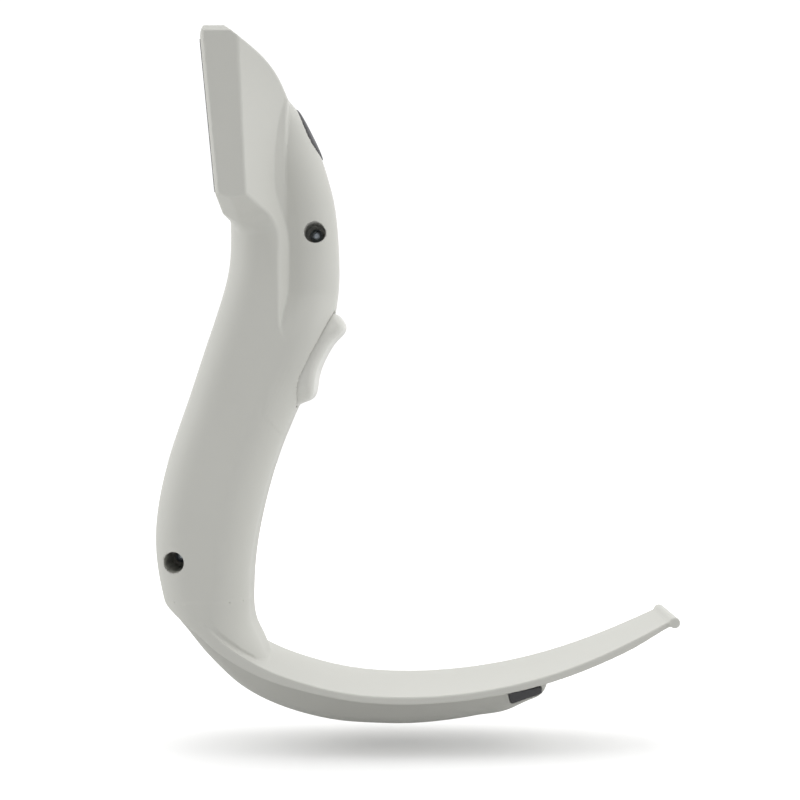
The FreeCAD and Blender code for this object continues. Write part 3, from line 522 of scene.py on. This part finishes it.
def casing_form(x, y, z):
    """The whole hand-held body, solid."""
    side = np.abs(y)
    neck = NECK_FILLET + NECK_FILLET_GROWTH * ease(side, *NECK_FILLET_SIDES)
    body = join(grip_form(x, y, z), head_form(x, side, z), neck)
    body = meet(body, np.minimum(bevel(x, side, z), strip(x, side)), BEVEL_EDGE)
    return join(body, spine_form(x, side, z), SPINE_FILLET)


def below_blade(x, z):
    """Distance from the blade's top line, negative below it."""
    return outline_distance(BELOW_OUTLINE, x, z)


def blade_thickness(x):
    return BLADE_THICK + ROOT_THICKER * ease(x, *ROOT_SPAN) - TIP_THINNER * ease(x, *TIP_SPAN)


def round_bar(a, b, centre, radius):
    """An endless round bar, from two coordinates across it."""
    return np.hypot(a - centre[0], b - centre[1]) - radius


def oval(a, b, half):
    """A rounded oval, roughly a distance."""
    run, rise = np.abs(a) / half[0], np.abs(b) / half[1]
    reach = (run ** OVAL_POWER + rise ** OVAL_POWER) ** (1 / OVAL_POWER)
    return (reach - 1) * min(half)


def pad_frame(x, z):
    """Distance down the pad, and outward from it."""
    return turned(x, z, PAD_CENTRE, (PAD_OUTWARD[1], -PAD_OUTWARD[0]))


def trigger_oval(y, z):
    """Distance from the trigger's outline as seen from behind."""
    half_height = np.where(z > TRIGGER_MIDDLE, TRIGGER_RISE, TRIGGER_FALL)
    side, rise = np.abs(y) / HALF_TRIGGER, np.abs(z - TRIGGER_MIDDLE) / half_height
    reach = (side ** TRIGGER_POWER + rise ** TRIGGER_POWER) ** (1 / TRIGGER_POWER)
    power = TRIGGER_POWER - 1
    slope = np.hypot(side ** power / HALF_TRIGGER, rise ** power / half_height)
    return (reach - 1) * reach ** power / np.maximum(slope, 0.01)


def slot_room(x, y, z):
    """The room the trigger sweeps between rest and fully pressed."""
    front = np.interp(z, *np.transpose(sorted((pz, px) for px, pz in TRIGGER_FRONT)))
    return np.maximum(trigger_oval(y, z) - TRIGGER_GAP, front - TRIGGER_THROW - x)


def block(a, b, half):
    """An endless rectangular bar, from two coordinates across it."""
    return np.maximum(slab(a, half[0]), slab(b, half[1]))


def wider(half, by):
    return half[0] + by, half[1] + by


def add_bosses(shell, form, x, y, z):
    """Adds the screw bosses, the trigger pin's bosses and the control pad's seat."""
    for centre in CASE_SCREWS:
        shell = np.minimum(shell, np.maximum(round_bar(x, z, centre, BOSS_RADIUS), form))
    pin_boss = np.maximum(round_bar(x, z, TRIGGER_PIVOT, EYE_RADIUS), 8.6 - np.abs(y))
    shell = np.minimum(shell, np.maximum(pin_boss, form))
    down, out = pad_frame(x, z)
    seat = np.maximum(oval(down, y, wider(PAD_HALF, SEAT_WALL)), -PAD_DEPTH - SEAT_WALL - out)
    return np.minimum(shell, np.maximum(seat, form))


def cut_window(shell, x, y, z):
    """Cuts the glass's rebate and the opening behind it."""
    depth, up = window_frame(x, z)
    rebate = np.maximum(block(y, up, wider(GLASS_HALF, GLASS_GAP)), depth - REBATE_DEPTH)
    opening = np.maximum(block(y, up, wider(GLASS_HALF, -WINDOW_LEDGE)), depth - FRONT_WALL - 1)
    return cut(cut(shell, rebate, 0.15), opening, 0.2)


def cut_controls(shell, x, y, z):
    """Cuts the room for the trigger and its pin, and for the pad and its button's stem."""
    shell = cut(shell, slot_room(x, y, z), 0.35)
    down, out = pad_frame(x, z)
    recess = np.maximum(oval(down, y, wider(PAD_HALF, PAD_GAP)), -PAD_DEPTH - out)
    shell = cut(shell, recess, 0.2)
    stem_hole = np.maximum(round_bar(down, y, (0, 0), STEM_HOLE_RADIUS), -12 - out)
    shell = np.maximum(shell, -np.maximum(stem_hole, out - 6))
    return np.maximum(shell, -np.maximum(pin_bore(x, z), slab(y, PIN_HOLE_HALF)))


def pin_bore(x, z):
    return round_bar(x, z, TRIGGER_PIVOT, PIN_HOLE_RADIUS)


def cut_screw_hole(shell, centre, side_sign, x, y, z):
    """Cuts a recess and a clear hole in the near half, or an insert's blind hole in the far half."""
    if side_sign > 0:
        insert_hole = np.maximum(round_bar(x, z, centre, INSERT_HOLE_RADIUS), y - INSERT_HOLE_DEPTH)
        return np.maximum(shell, -insert_hole)
    recess = np.maximum(round_bar(x, z, centre, RECESS_RADIUS), y + RECESS_FLOOR)
    shell = cut(shell, recess, 0.3)
    return np.maximum(shell, -round_bar(x, z, centre, SCREW_HOLE_RADIUS))


def shell_field(side_sign):
    """One half of the casing, hollow, with its bosses and openings."""
    def field(x, y, z):
        form = casing_form(x, y, z)
        cavity = np.maximum(form + WALL, FRONT_WALL - window_frame(x, z)[0])
        shell = add_bosses(np.maximum(form, -cavity), form, x, y, z)
        shell = np.maximum(shell, FOOT_SEAM - z)
        shell = cut_window(shell, x, y, z)
        shell = cut_controls(shell, x, y, z)
        for centre in CASE_SCREWS:
            shell = cut_screw_hole(shell, centre, side_sign, x, y, z)
        return meet(shell, -side_sign * y + 0.03, 0.12)
    return field


def make_shell(name, node, side_sign):
    low = (-96.0, 0.0 if side_sign > 0 else -HALF_HEAD, FOOT_SEAM)
    high = (-26.0, HALF_HEAD if side_sign > 0 else 0.0, 248.0)
    piece = skin(name, shell_field(side_sign), low, high, VOXEL, casing_form, FOOT_SEAM)
    finish_piece(piece, node, shell_plastic())
    if side_sign < 0:
        # The near half's screw recesses get painted shade.
        paint_recess_shade(piece)


def blade_form(x, y, z):
    """The arm's blade with its tip bead and the foot of the grip, solid."""
    below = below_blade(x, z)
    flare = FOOT_FLARE * ease(x, *FLARE_GROWS) * (1 - FLARE_LOSS * ease(x, *FLARE_SHRINKS)) + SHARP
    foot = join(casing_form(x, y, z), below, flare)
    foot = np.maximum(foot, -below - blade_thickness(x))
    plan = smooth_line(BLADE_PLAN)
    half = np.interp(x, plan[:, 0], plan[:, 1])
    blade = meet(foot, slab(y, half), SHARP + BLADE_EDGE * ease(x, *BLADE_EDGE_SPAN))
    blade = np.maximum(blade, x - BEAD_CENTRE[0])
    root = meet(outline_distance(ROOT_OUTLINE, x, z), slab(y, HALF_GRIP), GRIP_ROUNDING)
    blade = np.maximum(blade, root)
    bead = meet(round_bar(x, z, BEAD_CENTRE, BEAD_RADIUS), slab(y, BEAD_HALF), BEAD_EDGE)
    return join(blade, bead, BEAD_EDGE)


def make_blade():
    """The blade, hollow in the grip's foot, with a spigot up into the shells and a cable hole."""
    def field(x, y, z):
        form = casing_form(x, y, z)
        blade = np.maximum(blade_form(x, y, z), z - FOOT_SEAM)
        blade = np.maximum(blade, -np.maximum(form + WALL, -below_blade(x, z)))
        inner = form + WALL + 0.3 - 0.8 * (z < FOOT_SEAM - 1)
        spigot = np.maximum(np.maximum(inner, -inner - 2), np.maximum(z - 68, FOOT_SEAM - 5 - z))
        spigot = np.maximum(spigot, -round_bar(x, z, CASE_SCREWS[1], BOSS_RADIUS + 0.3))
        hole = np.maximum(block(x + 66.0, y, (3.5, 9.5)), slab(z - 28, 9))
        return np.maximum(np.minimum(blade, spigot), -hole)
    low, high = (-95.0, -22.5, 9.0), (96.0, 22.5, 69.0)
    piece = skin("arm_blade_moulding", field, low, high, VOXEL, blade_form, FOOT_SEAM)
    finish_piece(piece, "arm_blade", shell_plastic())


def port_frame(x, z):
    """Distance along the port towards the arm's tip, and across it."""
    return turned(x, z, PORT_CENTRE, PORT_ALONG)


def port_outline(x, z, margin=0.0):
    """The port recess's tapered outline, made smaller by a margin."""
    along, across = port_frame(x, z)
    sides = slab(across, PORT_HALF[1] - margin) + PORT_TAPER * along
    return np.maximum(slab(along, PORT_HALF[0] - margin), sides)


def make_rib():
    """The rib cover, hollow, with leaning sides, screw seats and the port's recess and mouth."""
    def field(x, y, z):
        under_blade = below_blade(x, z) + blade_thickness(x)
        lean = RIB_LEAN * np.clip(-under_blade, 0, LEAN_DEPTH) * ease(x, *LEAN_SPAN)
        form = meet(outline_distance(RIB_OUTLINE, x, z), slab(y, HALF_RIB) + lean, RIB_ROUNDING)
        rib = np.maximum(form, -np.maximum(form + RIB_WALL, -x - 80))
        recess = port_outline(x, z)
        port_floor = y + HALF_RIB - PORT_DEPTH
        rib = np.minimum(rib, np.maximum(np.maximum(recess - 1.2, form), port_floor - 1.4))
        rib = np.maximum(rib, under_blade + JOINT_GAP)
        rib = np.maximum(rib, z - FOOT_SEAM + JOINT_GAP)
        rib = cut(rib, np.maximum(recess, port_floor), 0.25)
        mouth = block(*port_frame(x, z), (4.7, 1.7))
        rib = np.maximum(rib, -np.maximum(mouth, y + 5))
        for screw in screw_places():
            rib = cut(rib, np.maximum(round_bar(x, y, screw[:2], 2.6), z - screw[2] - 0.8), 0.2)
        return rib
    piece = skin("arm_rib_moulding", field, (-94.0, -15.0, -1.6), (49.5, 15.0, 47.0), VOXEL)
    # The rib's darker plastic is partly its own tone, partly painted shade under the blade.
    finish_piece(piece, "arm_rib", rib_tone_and_painted_shade())


def screw_places():
    """The arm screws' X, Y and lowest Z, from their CAD solids."""
    mesh = frame["nodes"]["arm_screws"].data
    points = np.array([v.co for v in mesh.vertices]) / MM
    places = []
    for x in np.unique(np.round(points[:, 0] / 12)):
        near = points[np.abs(points[:, 0] / 12 - x) < 0.6]
        places.append(((near[:, 0].min() + near[:, 0].max()) / 2, 0.0, near[:, 2].min()))
    return places


def make_trigger():
    """The thumb paddle, with two eyes on its pin and a nub that presses the switch."""
    def field(x, y, z):
        side = np.abs(y)
        edge = TRIGGER_EDGE + TRIGGER_EDGE_GROWTH * ease(z, *TRIGGER_EDGE_HEIGHTS)
        paddle = meet(outline_distance(TRIGGER_OUTLINE, x, z), trigger_oval(y, z), edge)
        arms = slab(side - EYE_PLACE, EYE_HALF)
        lug = np.maximum(arms, slab(z - TRIGGER_PIVOT[1], EYE_RADIUS))
        lug = np.maximum(lug, slab(x - TRIGGER_PIVOT[0] - 2.5, 2.5))
        eye = np.maximum(round_bar(x, z, TRIGGER_PIVOT, EYE_RADIUS), arms)
        nub = np.maximum(slab(x + 40.9, 2.9), np.maximum(side - 2, slab(z - 136, 1.5)))
        solid = join(paddle, np.minimum(np.minimum(lug, eye), nub), 0.4)
        return np.maximum(solid, -pin_bore(x, z))
    piece = skin("thumb_trigger_moulding", field, (-49.0, -18.0, 111.5), (-24.0, 18.0, 153.0), FINE_VOXEL)
    finish_piece(piece, "thumb_trigger", trigger_plastic())


def make_pad():
    """The oval pad, a little proud of the spine, with the button's hole."""
    def field(x, y, z):
        down, out = pad_frame(x, z)
        spine = meet(outline_distance(SPINE_OUTLINE, x, z), slab(y, HALF_SPINE), spine_rounding(z))
        pad = meet(oval(down, y, PAD_HALF), spine - PAD_PROUD, 0.5)
        pad = np.maximum(pad, -PAD_DEPTH + 0.05 - out)
        return cut(pad, oval(down, y, wider(BUTTON_HALF, BUTTON_GAP)), 0.3)
    piece = skin("control_pad_inlay", field, (-48.5, -9.8, 204.2), (-31.0, 9.8, 227.2), FINE_VOXEL)
    finish_piece(piece, "control_pad", dark_elastomer("pad_elastomer", 0.13))


def make_button():
    """The button's cap with its finger dish, and the stem to its switch."""
    def field(x, y, z):
        down, out = pad_frame(x, z)
        crown = out - BUTTON_PROUD + 0.02 * y * y
        cap = meet(oval(down, y, BUTTON_HALF), np.maximum(crown, -2.3 - out), 0.55)
        ball_place = out - BUTTON_PROUD - 11.6
        dish = np.sqrt(down ** 2 + y ** 2 + ball_place ** 2) - BUTTON_DISH_RADIUS
        cap = cut(cap, dish, 0.4)
        stem = np.maximum(round_bar(down, y, (0, 0), STEM_RADIUS), np.maximum(-5.6 - out, out + 1.0))
        return join(cap, stem, 0.4)
    piece = skin("control_button_cap", field, (-48.0, -5.0, 207.0), (-33.0, 5.0, 222.0), SMALL_VOXEL)
    finish_piece(piece, "control_button", dark_elastomer("button_elastomer", 0.17))


def make_plug():
    """The plug's face in the recess, with a hollow tongue behind it that grips the socket."""
    def field(x, y, z):
        along, across = port_frame(x, z)
        face = port_outline(x, z, PLUG_GAP)
        face = meet(face, np.maximum(-HALF_RIB - 0.05 - y, y + HALF_RIB - PORT_DEPTH + 0.1), 0.35)
        tongue = np.maximum(block(along, across, (4.0, 1.15)), y + HALF_RIB - 5.2)
        tongue = np.maximum(tongue, -HALF_RIB + 0.8 - y)
        hollow = np.maximum(block(along, across, (3.5, 0.5)), -HALF_RIB + 2.4 - y)
        return np.maximum(np.minimum(face, tongue), -hollow)
    piece = skin("port_plug_elastomer", field, (33.0, -15.0, 8.0), (47.0, -9.0, 16.5), SMALL_VOXEL)
    finish_piece(piece, "port_plug", dark_elastomer("plug_elastomer", 0.07))


def make_window():
    """The flat pane, with rounded corners and softened edges."""
    def field(x, y, z):
        depth, up = window_frame(x, z)
        sheet = meet(slab(y, GLASS_HALF[0]), slab(up, GLASS_HALF[1]), 1.0)
        return meet(sheet, slab(depth - GLASS_THICK / 2, GLASS_THICK / 2), 0.3)
    piece = skin("window_pane", field, (-75.5, -34.0, 188.5), (-66.0, 34.0, 243.0), FINE_VOXEL)
    finish_piece(piece, "front_window", window_glass())


def case_screw(x, y, z, centre):
    """A button-head screw with a hexagon socket, deep in its recess."""
    radial = round_bar(x, z, centre, 0.0)
    dome = np.sqrt(radial ** 2 + (y + RECESS_FLOOR - 0.9) ** 2) - 3.0
    head = meet(np.maximum(dome, radial - 2.4), y + RECESS_FLOOR, 0.15)
    dx, dz = x - centre[0], z - centre[1]
    socket = y + RECESS_FLOOR + 0.8
    for turn in (math.radians(60 * k) for k in range(3)):
        socket = np.maximum(socket, slab(dx * math.cos(turn) + dz * math.sin(turn), 1.0))
    shank = np.maximum(radial - 1.25, np.maximum(y - 6.5, -RECESS_FLOOR - 0.5 - y))
    return np.minimum(cut(head, socket, 0.1), shank)


def make_case_screws():
    for number, centre in enumerate(CASE_SCREWS, 1):
        low = (centre[0] - 3.2, -4.5, centre[1] - 3.2)
        high = (centre[0] + 3.2, 7.0, centre[1] + 3.2)
        form = partial(case_screw, centre=centre)
        piece = skin("case_screw_%d" % number, form, low, high, SCREW_VOXEL)
        finish_piece(piece, "case_screws", zinc_steel())


def paint_recess_shade(piece):
    """Gives the walls of the screw recesses a darker material: painted shade for the deep holes."""
    piece.data.materials.append(recess_painted_shade())
    for face in piece.data.polygons:
        x, y, z = face.center / MM
        for centre in CASE_SCREWS:
            if math.hypot(x - centre[0], z - centre[1]) < RECESS_RADIUS + 0.2 and y > -RECESS_BOTTOM:
                face.material_index = 1


def finish_piece(piece, node, material):
    """Puts a new moulding in place of its CAD node."""
    body = [b for b, names in frame["record"]["behaviour"]["bodies"].items() if node in names][0]
    piece.data.materials.clear()
    piece.data.materials.append(material)
    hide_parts(node)
    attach(piece, body)


# Materials

class Nodes:
    """A small helper that adds and links shader nodes."""

    def __init__(self, name):
        self.material = bpy.data.materials.new(name)
        self.material.use_nodes = True
        self.tree = self.material.node_tree
        self.shader = self.tree.nodes["Principled BSDF"]
        self.place = self.add("ShaderNodeTexCoord").outputs["Object"]

    def add(self, kind, **settings):
        node = self.tree.nodes.new(kind)
        for key, value in settings.items():
            setattr(node, key, value)
        return node

    def link(self, source, target):
        self.tree.links.new(source, target)

    def noise(self, scale, detail=3.0, roughness=0.6):
        node = self.add("ShaderNodeTexNoise")
        node.inputs["Scale"].default_value = scale
        node.inputs["Detail"].default_value = detail
        node.inputs["Roughness"].default_value = roughness
        self.link(self.place, node.inputs["Vector"])
        return node.outputs["Fac"]

    def spread(self, source, low, high):
        """Maps 0..1 to low..high."""
        node = self.add("ShaderNodeMapRange")
        node.inputs["To Min"].default_value = low
        node.inputs["To Max"].default_value = high
        self.link(source, node.inputs["Value"])
        return node.outputs["Result"]

    def ramp(self, source, stops):
        node = self.add("ShaderNodeValToRGB")
        while len(node.color_ramp.elements) < len(stops):
            node.color_ramp.elements.new(0.5)
        for element, (place, colour) in zip(node.color_ramp.elements, stops):
            element.position = place
            element.color = (*colour, 1)
        self.link(source, node.inputs["Fac"])
        return node.outputs["Color"]

    def bump(self, source, strength, distance):
        node = self.add("ShaderNodeBump")
        node.inputs["Strength"].default_value = strength
        node.inputs["Distance"].default_value = distance
        self.link(source, node.inputs["Height"])
        self.link(node.outputs["Normal"], self.shader.inputs["Normal"])
        return node

    def set(self, **values):
        for key, value in values.items():
            self.shader.inputs[key.replace("_", " ")].default_value = value


def once(maker):
    """Makes each material a single time."""
    made = {}

    def get(*arguments):
        if arguments not in made:
            made[arguments] = maker(*arguments)
        return made[arguments]
    return get


def edge_wear(nodes, base_colour, worn_colour, amount):
    """Lightens convex edges a little, broken up by noise."""
    geometry = nodes.add("ShaderNodeNewGeometry")
    edges = nodes.ramp(geometry.outputs["Pointiness"], [(0.515, (0, 0, 0)), (0.56, (1, 1, 1))])
    patches = nodes.spread(nodes.noise(90.0), 0.0, amount)
    factor = nodes.add("ShaderNodeMath", operation="MULTIPLY")
    nodes.link(edges, factor.inputs[0])
    nodes.link(patches, factor.inputs[1])
    mix = nodes.add("ShaderNodeMix", data_type="RGBA")
    nodes.link(factor.outputs[0], mix.inputs["Factor"])
    nodes.link(base_colour, mix.inputs["A"])
    mix.inputs["B"].default_value = (*worn_colour, 1)
    nodes.link(mix.outputs["Result"], nodes.shader.inputs["Base Color"])


def moulded(name, dark, light, rough, grain=2600.0):
    """Matte moulded plastic with a fine spark-eroded grain and faint cloudiness."""
    nodes = Nodes(name)
    cloud = nodes.ramp(nodes.noise(14.0, 2.0), [(0.35, dark), (0.65, light)])
    edge_wear(nodes, cloud, tuple(min(1.0, c * 1.08) for c in light), 0.5)
    nodes.link(nodes.spread(nodes.noise(55.0), rough - 0.05, rough + 0.05), nodes.shader.inputs["Roughness"])
    nodes.bump(nodes.noise(grain, 2.0), 0.12, 0.00006)
    nodes.set(Specular_IOR_Level=0.35)
    return nodes.material


@once
def shell_plastic():
    return moulded("shell_plastic", (0.585, 0.585, 0.545), (0.605, 0.605, 0.565), 0.5)


@once
# Darker than the shell: partly the rib's own plastic tone, partly painted shade under the blade's overhang.
def rib_tone_and_painted_shade():
    return moulded("rib_tone_and_painted_shade", (0.505, 0.505, 0.47), (0.525, 0.525, 0.49), 0.5)


@once
# Darker plastic painted on the screw recesses' walls as shade.
def recess_painted_shade():
    return moulded("recess_painted_shade", (0.5, 0.5, 0.47), (0.54, 0.54, 0.51), 0.6)


@once
def trigger_plastic():
    return moulded("trigger_plastic", (0.67, 0.67, 0.63), (0.69, 0.69, 0.65), 0.42)


@once
def dark_elastomer(name, level):
    return moulded(name, (level, level, level * 1.05), (level * 1.15, level * 1.15, level * 1.2), 0.62)


@once
def black_plastic():
    return moulded("black_plastic", (0.018, 0.018, 0.018), (0.026, 0.026, 0.026), 0.5)


@once
def window_glass():
    nodes = Nodes("window_glass")
    smear = nodes.spread(nodes.noise(30.0), 0.03, 0.09)
    nodes.link(smear, nodes.shader.inputs["Roughness"])
    nodes.set(Base_Color=(0.012, 0.014, 0.02, 1), IOR=1.5, Alpha=0.72, Coat_Weight=0.6, Coat_Roughness=0.03)
    return nodes.material


@once
def coated_lens():
    nodes = Nodes("coated_lens")
    facing = nodes.add("ShaderNodeLayerWeight")
    tint = nodes.ramp(facing.outputs["Facing"], [(0.0, (0.02, 0.02, 0.07)), (0.5, (0.05, 0.02, 0.12)),
                                                 (1.0, (0.02, 0.08, 0.1))])
    nodes.link(tint, nodes.shader.inputs["Base Color"])
    nodes.link(nodes.spread(nodes.noise(80.0), 0.02, 0.05), nodes.shader.inputs["Roughness"])
    nodes.set(Coat_Weight=1.0, Coat_Roughness=0.02, Specular_IOR_Level=0.8)
    return nodes.material


def metal(name, dark, light, rough):
    """Bare metal with fine machining variation."""
    nodes = Nodes(name)
    colour = nodes.ramp(nodes.noise(400.0), [(0.3, dark), (0.7, light)])
    nodes.link(colour, nodes.shader.inputs["Base Color"])
    nodes.link(nodes.spread(nodes.noise(900.0), rough - 0.08, rough + 0.08), nodes.shader.inputs["Roughness"])
    nodes.bump(nodes.noise(1800.0), 0.1, 0.00004)
    nodes.set(Metallic=1.0)
    return nodes.material


@once
def zinc_steel():
    return metal("zinc_steel", (0.5, 0.56, 0.62), (0.66, 0.72, 0.78), 0.32)


@once
def ground_steel():
    return metal("ground_steel", (0.5, 0.5, 0.5), (0.64, 0.64, 0.65), 0.25)


@once
def knurled_brass():
    return metal("knurled_brass", (0.62, 0.45, 0.18), (0.78, 0.6, 0.28), 0.3)


@once
def nickel_contact():
    return metal("nickel_contact", (0.58, 0.57, 0.52), (0.72, 0.7, 0.65), 0.3)


@once
def black_anodised():
    return metal("black_anodised", (0.025, 0.025, 0.028), (0.045, 0.045, 0.05), 0.45)


@once
def solder_mask():
    nodes = Nodes("solder_mask")
    tracks = nodes.add("ShaderNodeTexBrick")
    tracks.inputs["Scale"].default_value = 420.0
    tracks.inputs["Color1"].default_value = (0.01, 0.09, 0.03, 1)
    tracks.inputs["Color2"].default_value = (0.012, 0.12, 0.04, 1)
    tracks.inputs["Mortar"].default_value = (0.02, 0.2, 0.07, 1)
    tracks.inputs["Mortar Size"].default_value = 0.03
    nodes.link(nodes.place, tracks.inputs["Vector"])
    nodes.link(tracks.outputs["Color"], nodes.shader.inputs["Base Color"])
    nodes.bump(tracks.outputs["Fac"], 0.2, 0.00003)
    nodes.set(Roughness=0.28)
    return nodes.material


@once
def cell_sleeve():
    return moulded("cell_sleeve", (0.03, 0.12, 0.32), (0.04, 0.16, 0.4), 0.25)


NODE_MATERIALS = {
    "window": window_glass, "lens": coated_lens, "seal": black_plastic, "inner_plastic": black_plastic,
    "optics_metal": black_anodised, "screw": zinc_steel, "insert": knurled_brass, "pin": ground_steel,
    "spring": ground_steel, "board": solder_mask, "contact": nickel_contact, "cell": cell_sleeve,
    "cable": black_plastic,
}


def dress_cad_nodes():
    """Gives every CAD node that stays visible its material."""
    slots = {part["node"]: part["material_slot"] for part in frame["record"]["subparts"]}
    for name, node in frame["nodes"].items():
        if node.hide_render:
            continue
        node.data.materials.clear()
        node.data.materials.append(NODE_MATERIALS[slots[name]]())


# Stage, light and camera

def make_floor():
    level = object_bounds()[0][2] - FLOOR_DROP * MM
    mesh = bpy.data.meshes.new("floor")
    corners = [(FLOOR_HALF * i, FLOOR_HALF * j, level) for i, j in ((-1, -1), (1, -1), (1, 1), (-1, 1))]
    mesh.from_pydata(corners, [], [(0, 1, 2, 3)])
    mesh.materials.append(floor_paper())
    floor = bpy.data.objects.new("floor", mesh)
    bpy.context.scene.collection.objects.link(floor)


def floor_paper():
    """White paper that the camera sees glow with distance, while other rays meet a plain grey."""
    nodes = Nodes("floor_paper")
    paper = nodes.ramp(nodes.noise(3.0), [(0.4, (0.93, 0.93, 0.93)), (0.6, (0.95, 0.95, 0.95))])
    path = nodes.add("ShaderNodeLightPath")
    tone = nodes.add("ShaderNodeMix", data_type="RGBA")
    nodes.link(path.outputs["Is Camera Ray"], tone.inputs["Factor"])
    tone.inputs["A"].default_value = (FLOOR_BOUNCE, FLOOR_BOUNCE, FLOOR_BOUNCE, 1)
    nodes.link(paper, tone.inputs["B"])
    nodes.link(tone.outputs["Result"], nodes.shader.inputs["Base Color"])
    nodes.set(Roughness=0.9, Specular_IOR_Level=0.0, Emission_Color=(1, 1, 1, 1))
    distance = nodes.add("ShaderNodeVectorMath", operation="LENGTH")
    nodes.link(nodes.place, distance.inputs[0])
    glow = nodes.add("ShaderNodeMapRange")
    set_range(glow, GLOW_REACH, GLOW_STRENGTH)
    nodes.link(distance.outputs["Value"], glow.inputs["Value"])
    seen = nodes.add("ShaderNodeMath", operation="MULTIPLY")
    nodes.link(glow.outputs["Result"], seen.inputs[0])
    nodes.link(path.outputs["Is Camera Ray"], seen.inputs[1])
    nodes.link(seen.outputs[0], nodes.shader.inputs["Emission Strength"])
    return nodes.material


def set_range(node, reach, result):
    """Sets a Map Range node's limits."""
    for end, place in (("Min", 0), ("Max", 1)):
        node.inputs["From " + end].default_value = reach[place]
        node.inputs["To " + end].default_value = result[place]


def make_world():
    """An even white surround that is darker on the camera's side."""
    world = bpy.data.worlds.new("studio")
    bpy.context.scene.world = world
    world.use_nodes = True
    tree = world.node_tree
    background = tree.nodes["Background"]
    place = tree.nodes.new("ShaderNodeTexCoord")
    split = tree.nodes.new("ShaderNodeSeparateXYZ")
    tree.links.new(place.outputs["Generated"], split.inputs[0])
    near = tree.nodes.new("ShaderNodeMapRange")
    near.interpolation_type = "SMOOTHSTEP"
    set_range(near, WORLD_REACH, WORLD_STRENGTH)
    tree.links.new(split.outputs["Y"], near.inputs["Value"])
    path = tree.nodes.new("ShaderNodeLightPath")
    mix = tree.nodes.new("ShaderNodeMix")
    mix.data_type = "FLOAT"
    tree.links.new(path.outputs["Is Camera Ray"], mix.inputs["Factor"])
    tree.links.new(near.outputs["Result"], mix.inputs["A"])
    mix.inputs["B"].default_value = BACKDROP_STRENGTH
    tree.links.new(mix.outputs["Result"], background.inputs["Strength"])
    background.inputs["Color"].default_value = (1, 1, 1, 1)


def make_light(name, place, size, power):
    light = bpy.data.lights.new(name, "AREA")
    light.shape = "SQUARE"
    light.size = size
    light.energy = power
    lamp = bpy.data.objects.new(name, light)
    lamp.location = place
    aim = Vector(LAMP_AIM) - Vector(place)
    lamp.rotation_euler = aim.to_track_quat("-Z", "Y").to_euler()
    bpy.context.scene.collection.objects.link(lamp)


def make_camera():
    """Square to the side, on the -Y side, level with the object's middle."""
    camera = bpy.data.cameras.new("camera")
    camera.lens = CAMERA_LENS
    camera.sensor_width = 36.0
    holder = bpy.data.objects.new("camera", camera)
    holder.location = CAMERA_PLACE
    holder.rotation_euler = (math.pi / 2, 0, 0)
    camera.shift_x = CAMERA_SHIFT[0]
    camera.shift_y = CAMERA_SHIFT[1]
    camera.clip_start = 0.01
    bpy.context.scene.collection.objects.link(holder)
    bpy.context.scene.camera = holder


def main():
    make_shell("left_shell_moulding", "left_shell", -1)
    make_shell("right_shell_moulding", "right_shell", 1)
    make_blade()
    make_rib()
    make_trigger()
    make_pad()
    make_button()
    make_plug()
    make_window()
    make_case_screws()
    dress_cad_nodes()
    make_floor()
    make_world()
    for lamp in LAMPS:
        make_light(*lamp)
    make_camera()
    bpy.context.scene.view_settings.view_transform = "Standard"


main()
